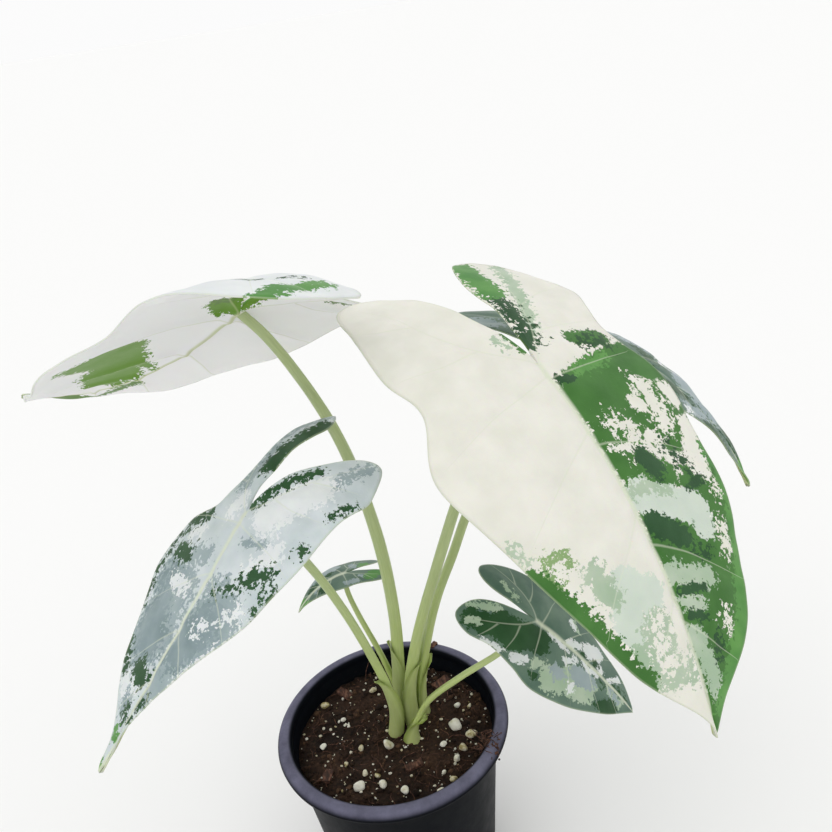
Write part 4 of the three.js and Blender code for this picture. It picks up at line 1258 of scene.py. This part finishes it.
# Pine bark and coir: fibrous, red-brown where it is dry, matt.
def dry_fibre():
    material, tree, skin = new_material("bark_and_coir")
    place = add(tree, "ShaderNodeTexCoord").outputs["Object"]
    grain = add(tree, "ShaderNodeMapping", {"Vector": place, "Scale": (900, 260, 900)})
    lines = add(tree, "ShaderNodeTexNoise", {"Vector": grain.outputs[0], "Scale": 1, "Detail": 5})
    colour = add(tree, "ShaderNodeValToRGB", {0: lines.outputs[0]}, stops=[
        (0.3, "#22140e"), (0.5, "#482c1f"), (0.72, "#7d5745"),
    ])
    tree.links.new(colour.outputs[0], skin.inputs["Base Color"])
    skin.inputs["Roughness"].default_value = 0.88
    bump = add(tree, "ShaderNodeBump", {
        "Height": lines.outputs[0], "Strength": 0.6, "Distance": 0.4 * MM,
    })
    tree.links.new(bump.outputs[0], skin.inputs["Normal"])
    return material


FIBRE_STEPS = 7
FIBRE_WANDER = 0.6  # the most that a fibre turns at a step, in radians
LOOSE_FIBRES = 110
FIBRE_THICKNESS = 0.32 * MM
ROOTLET = [  # a bent rootlet that arches off the soil by the pot's wall; heights are above the soil
    (-9, 38, 0.5), (-8, 40, 3.5), (-6, 42.2, 6.5), (-3.2, 41.6, 8.5), (0, 39, 8), (2.5, 35.5, 5),
    (4, 33, 1),
]
COIR_CLUMP = (40 * MM, -27.5 * MM)
COIR_FIBRES = 150
COIR_THICKNESS = 0.4 * MM
RIM_FLAKE = (28 * MM, 41.5 * MM)
FLAKE_SIZE = (4.6 * MM, 2.6 * MM, 0.9 * MM)
FLAKE_TURN = 35
FLAKE_CUTS = 6
FLAKE_GRAIN = 1.6 * MM
FLAKE_BUMP = 0.45 * MM


def fibre_line(draw, x, y, z, length, lift):
    """A short wandering line that starts at a place, rises by lift in its middle and turns
    aside where it gets to the rim."""
    turn = draw.uniform(0, 2 * math.pi)
    places = []
    for i in range(FIBRE_STEPS + 1):
        places.append((x, y, z + lift * math.sin(math.pi * i / FIBRE_STEPS)))
        turn += draw.uniform(-FIBRE_WANDER, FIBRE_WANDER)
        x += length / FIBRE_STEPS * math.cos(turn)
        y += length / FIBRE_STEPS * math.sin(turn)
        if math.hypot(x, y) > RIM_RADIUS - 1.5 * MM:
            turn += math.pi / 2
    return places


def fibres(name, material, lines, thickness):
    """Thin round fibres along the given lines, joined as one piece."""
    curve = bpy.data.curves.new(name, "CURVE")
    curve.dimensions = "3D"
    curve.bevel_depth = thickness / 2
    curve.bevel_resolution = 1
    curve.use_fill_caps = True
    for places in lines:
        spline = curve.splines.new("POLY")
        spline.points.add(len(places) - 1)
        for point, place in zip(spline.points, places):
            point.co = (*place, 1)
    guide = place_in_scene(name + "_guide", curve)
    bpy.context.view_layer.update()
    mesh = bpy.data.meshes.new_from_object(guide)
    bpy.data.objects.remove(guide)
    bm = bmesh.new()
    bm.from_mesh(mesh)
    bpy.data.meshes.remove(mesh)
    finish_piece(bm, name, material)


def loose_fibres(material):
    """Coir fibres strewn on the soil, and the rootlet."""
    draw = random.Random(23)
    lines = []
    for _ in range(LOOSE_FIBRES):
        x, y = on_soil(draw, 0.92)
        length, lift = draw.uniform(3, 11) * MM, draw.uniform(0.2, 1.6) * MM
        lines.append(fibre_line(draw, x, y, soil_height(x, y) + 0.5 * MM, length, lift))
    lines.append([(x * MM, y * MM, SOIL_LEVEL + z * MM) for x, y, z in ROOTLET])
    fibres("loose_fibres", material, lines, FIBRE_THICKNESS)


def rim_flake(material):
    """A dry flake of bark that lies on the back of the rim."""
    bm = bmesh.new()
    place = Vector((*RIM_FLAKE, RIM_TOP + 0.5 * MM))
    seat = Matrix.Translation(place) @ Matrix.Rotation(math.radians(FLAKE_TURN), 4, "Z")
    bmesh.ops.create_cube(bm, size=1, matrix=seat @ Matrix.Diagonal((*FLAKE_SIZE, 1)))
    bmesh.ops.subdivide_edges(bm, edges=bm.edges, cuts=FLAKE_CUTS, use_grid_fill=True)
    roughen(bm, FLAKE_GRAIN, FLAKE_BUMP)
    finish_piece(bm, "rim_flake", material, smooth=False)


def coir_clump(material):
    """A tuft of coconut fibre caught on the rim."""
    draw = random.Random(7)
    lines = []
    for _ in range(COIR_FIBRES):
        x = COIR_CLUMP[0] + draw.gauss(0, 2.2) * MM
        y = COIR_CLUMP[1] + draw.gauss(0, 2.8) * MM
        z = SOIL_LEVEL + draw.uniform(2, 9) * MM
        length, lift = draw.uniform(2.5, 6) * MM, draw.uniform(-1.2, 1.5) * MM
        lines.append(fibre_line(draw, x, y, z, length, lift))
    fibres("coir_clump", material, lines, COIR_THICKNESS)


# ---- Camera, floor and light ----------------------------------------------

CAMERA_PLACE = (0, -303 * MM, 391 * MM)
CAMERA_TURN = -6.18  # degrees, to the right of straight ahead
CAMERA_DOWN = 25.64
CAMERA_ROLL = -8.79
CAMERA_LENS = 37.2  # millimetres, in front of a sensor 36 wide
FLOOR_SIZE = 400  # half its width in metres: its far edge is lost in the light


def camera():
    data = bpy.data.cameras.new("camera")
    data.lens = CAMERA_LENS
    data.sensor_width = 36
    data.clip_start = 0.01
    data.clip_end = 1000
    eye = place_in_scene("camera", data)
    eye.matrix_world = (
        Matrix.Translation(CAMERA_PLACE)
        @ Matrix.Rotation(math.radians(CAMERA_TURN), 4, "Z")
        @ Matrix.Rotation(math.radians(90 - CAMERA_DOWN), 4, "X")
        @ Matrix.Rotation(math.radians(CAMERA_ROLL), 4, "Z")
    )
    bpy.context.scene.camera = eye


# Matt white paper, wide enough to reach the horizon.
def floor():
    material, _, skin = new_material("matt_white_paper")
    skin.inputs["Base Color"].default_value = linear("#f1f1f0")
    skin.inputs["Roughness"].default_value = 0.9
    skin.inputs["Specular IOR Level"].default_value = 0.1
    bm = bmesh.new()
    bmesh.ops.create_grid(bm, x_segments=1, y_segments=1, size=FLOOR_SIZE)
    mesh = bpy.data.meshes.new("floor")
    bm.to_mesh(mesh)
    bm.free()
    mesh.materials.append(material)
    place_in_scene("floor", mesh)


def sunlight(name, place, strength, spread):
    """A broad far light that shines from a place towards the pot."""
    data = bpy.data.lights.new(name, "SUN")
    data.angle = math.radians(spread)
    data.energy = strength
    lamp = place_in_scene(name, data)
    lamp.location = place
    lamp.rotation_mode = "QUATERNION"
    lamp.rotation_quaternion = (-Vector(place)).to_track_quat("-Z", "Y")


def light():
    """Soft white light from all round, with a broad key from the left and a weak fill."""
    world = bpy.data.worlds.new("studio")
    world.use_nodes = True
    sky = world.node_tree.nodes["Background"]
    sky.inputs["Color"].default_value = (1, 1, 1, 1)
    sky.inputs["Strength"].default_value = 0.97
    bpy.context.scene.world = world
    sunlight("key", (-0.7, -0.5, 1.5), 0.42, 50)
    sunlight("fill", (0.9, -0.9, 0.9), 0.1, 60)
    bpy.context.scene.view_settings.view_transform = "Standard"


# ---- The plant in its pot -------------------------------------------------

camera()
floor()
light()
plastic = pot_plastic()
peat = soil_mix()
petiole = stalk_skin()
glass = perlite_glass()
coir = dry_fibre()
pot(plastic)
soil_bed(peat)
soil_crumbs(peat)
grit(glass)
perlite(glass)
bark(coir)
loose_fibres(coir)
coir_clump(coir)
rim_flake(coir)
for leaf_name, leaf_shape in LEAVES.items():
    blade(leaf_name, leaf_shape)
    stalk(leaf_name, leaf_shape, petiole)
    if "sheath" in leaf_shape:
        sheath(leaf_name, leaf_shape, petiole)
# The corm is under the soil, so the frame's own mesh serves.
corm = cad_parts["corm"]
corm.data.materials.clear()
corm.data.materials.append(coir)
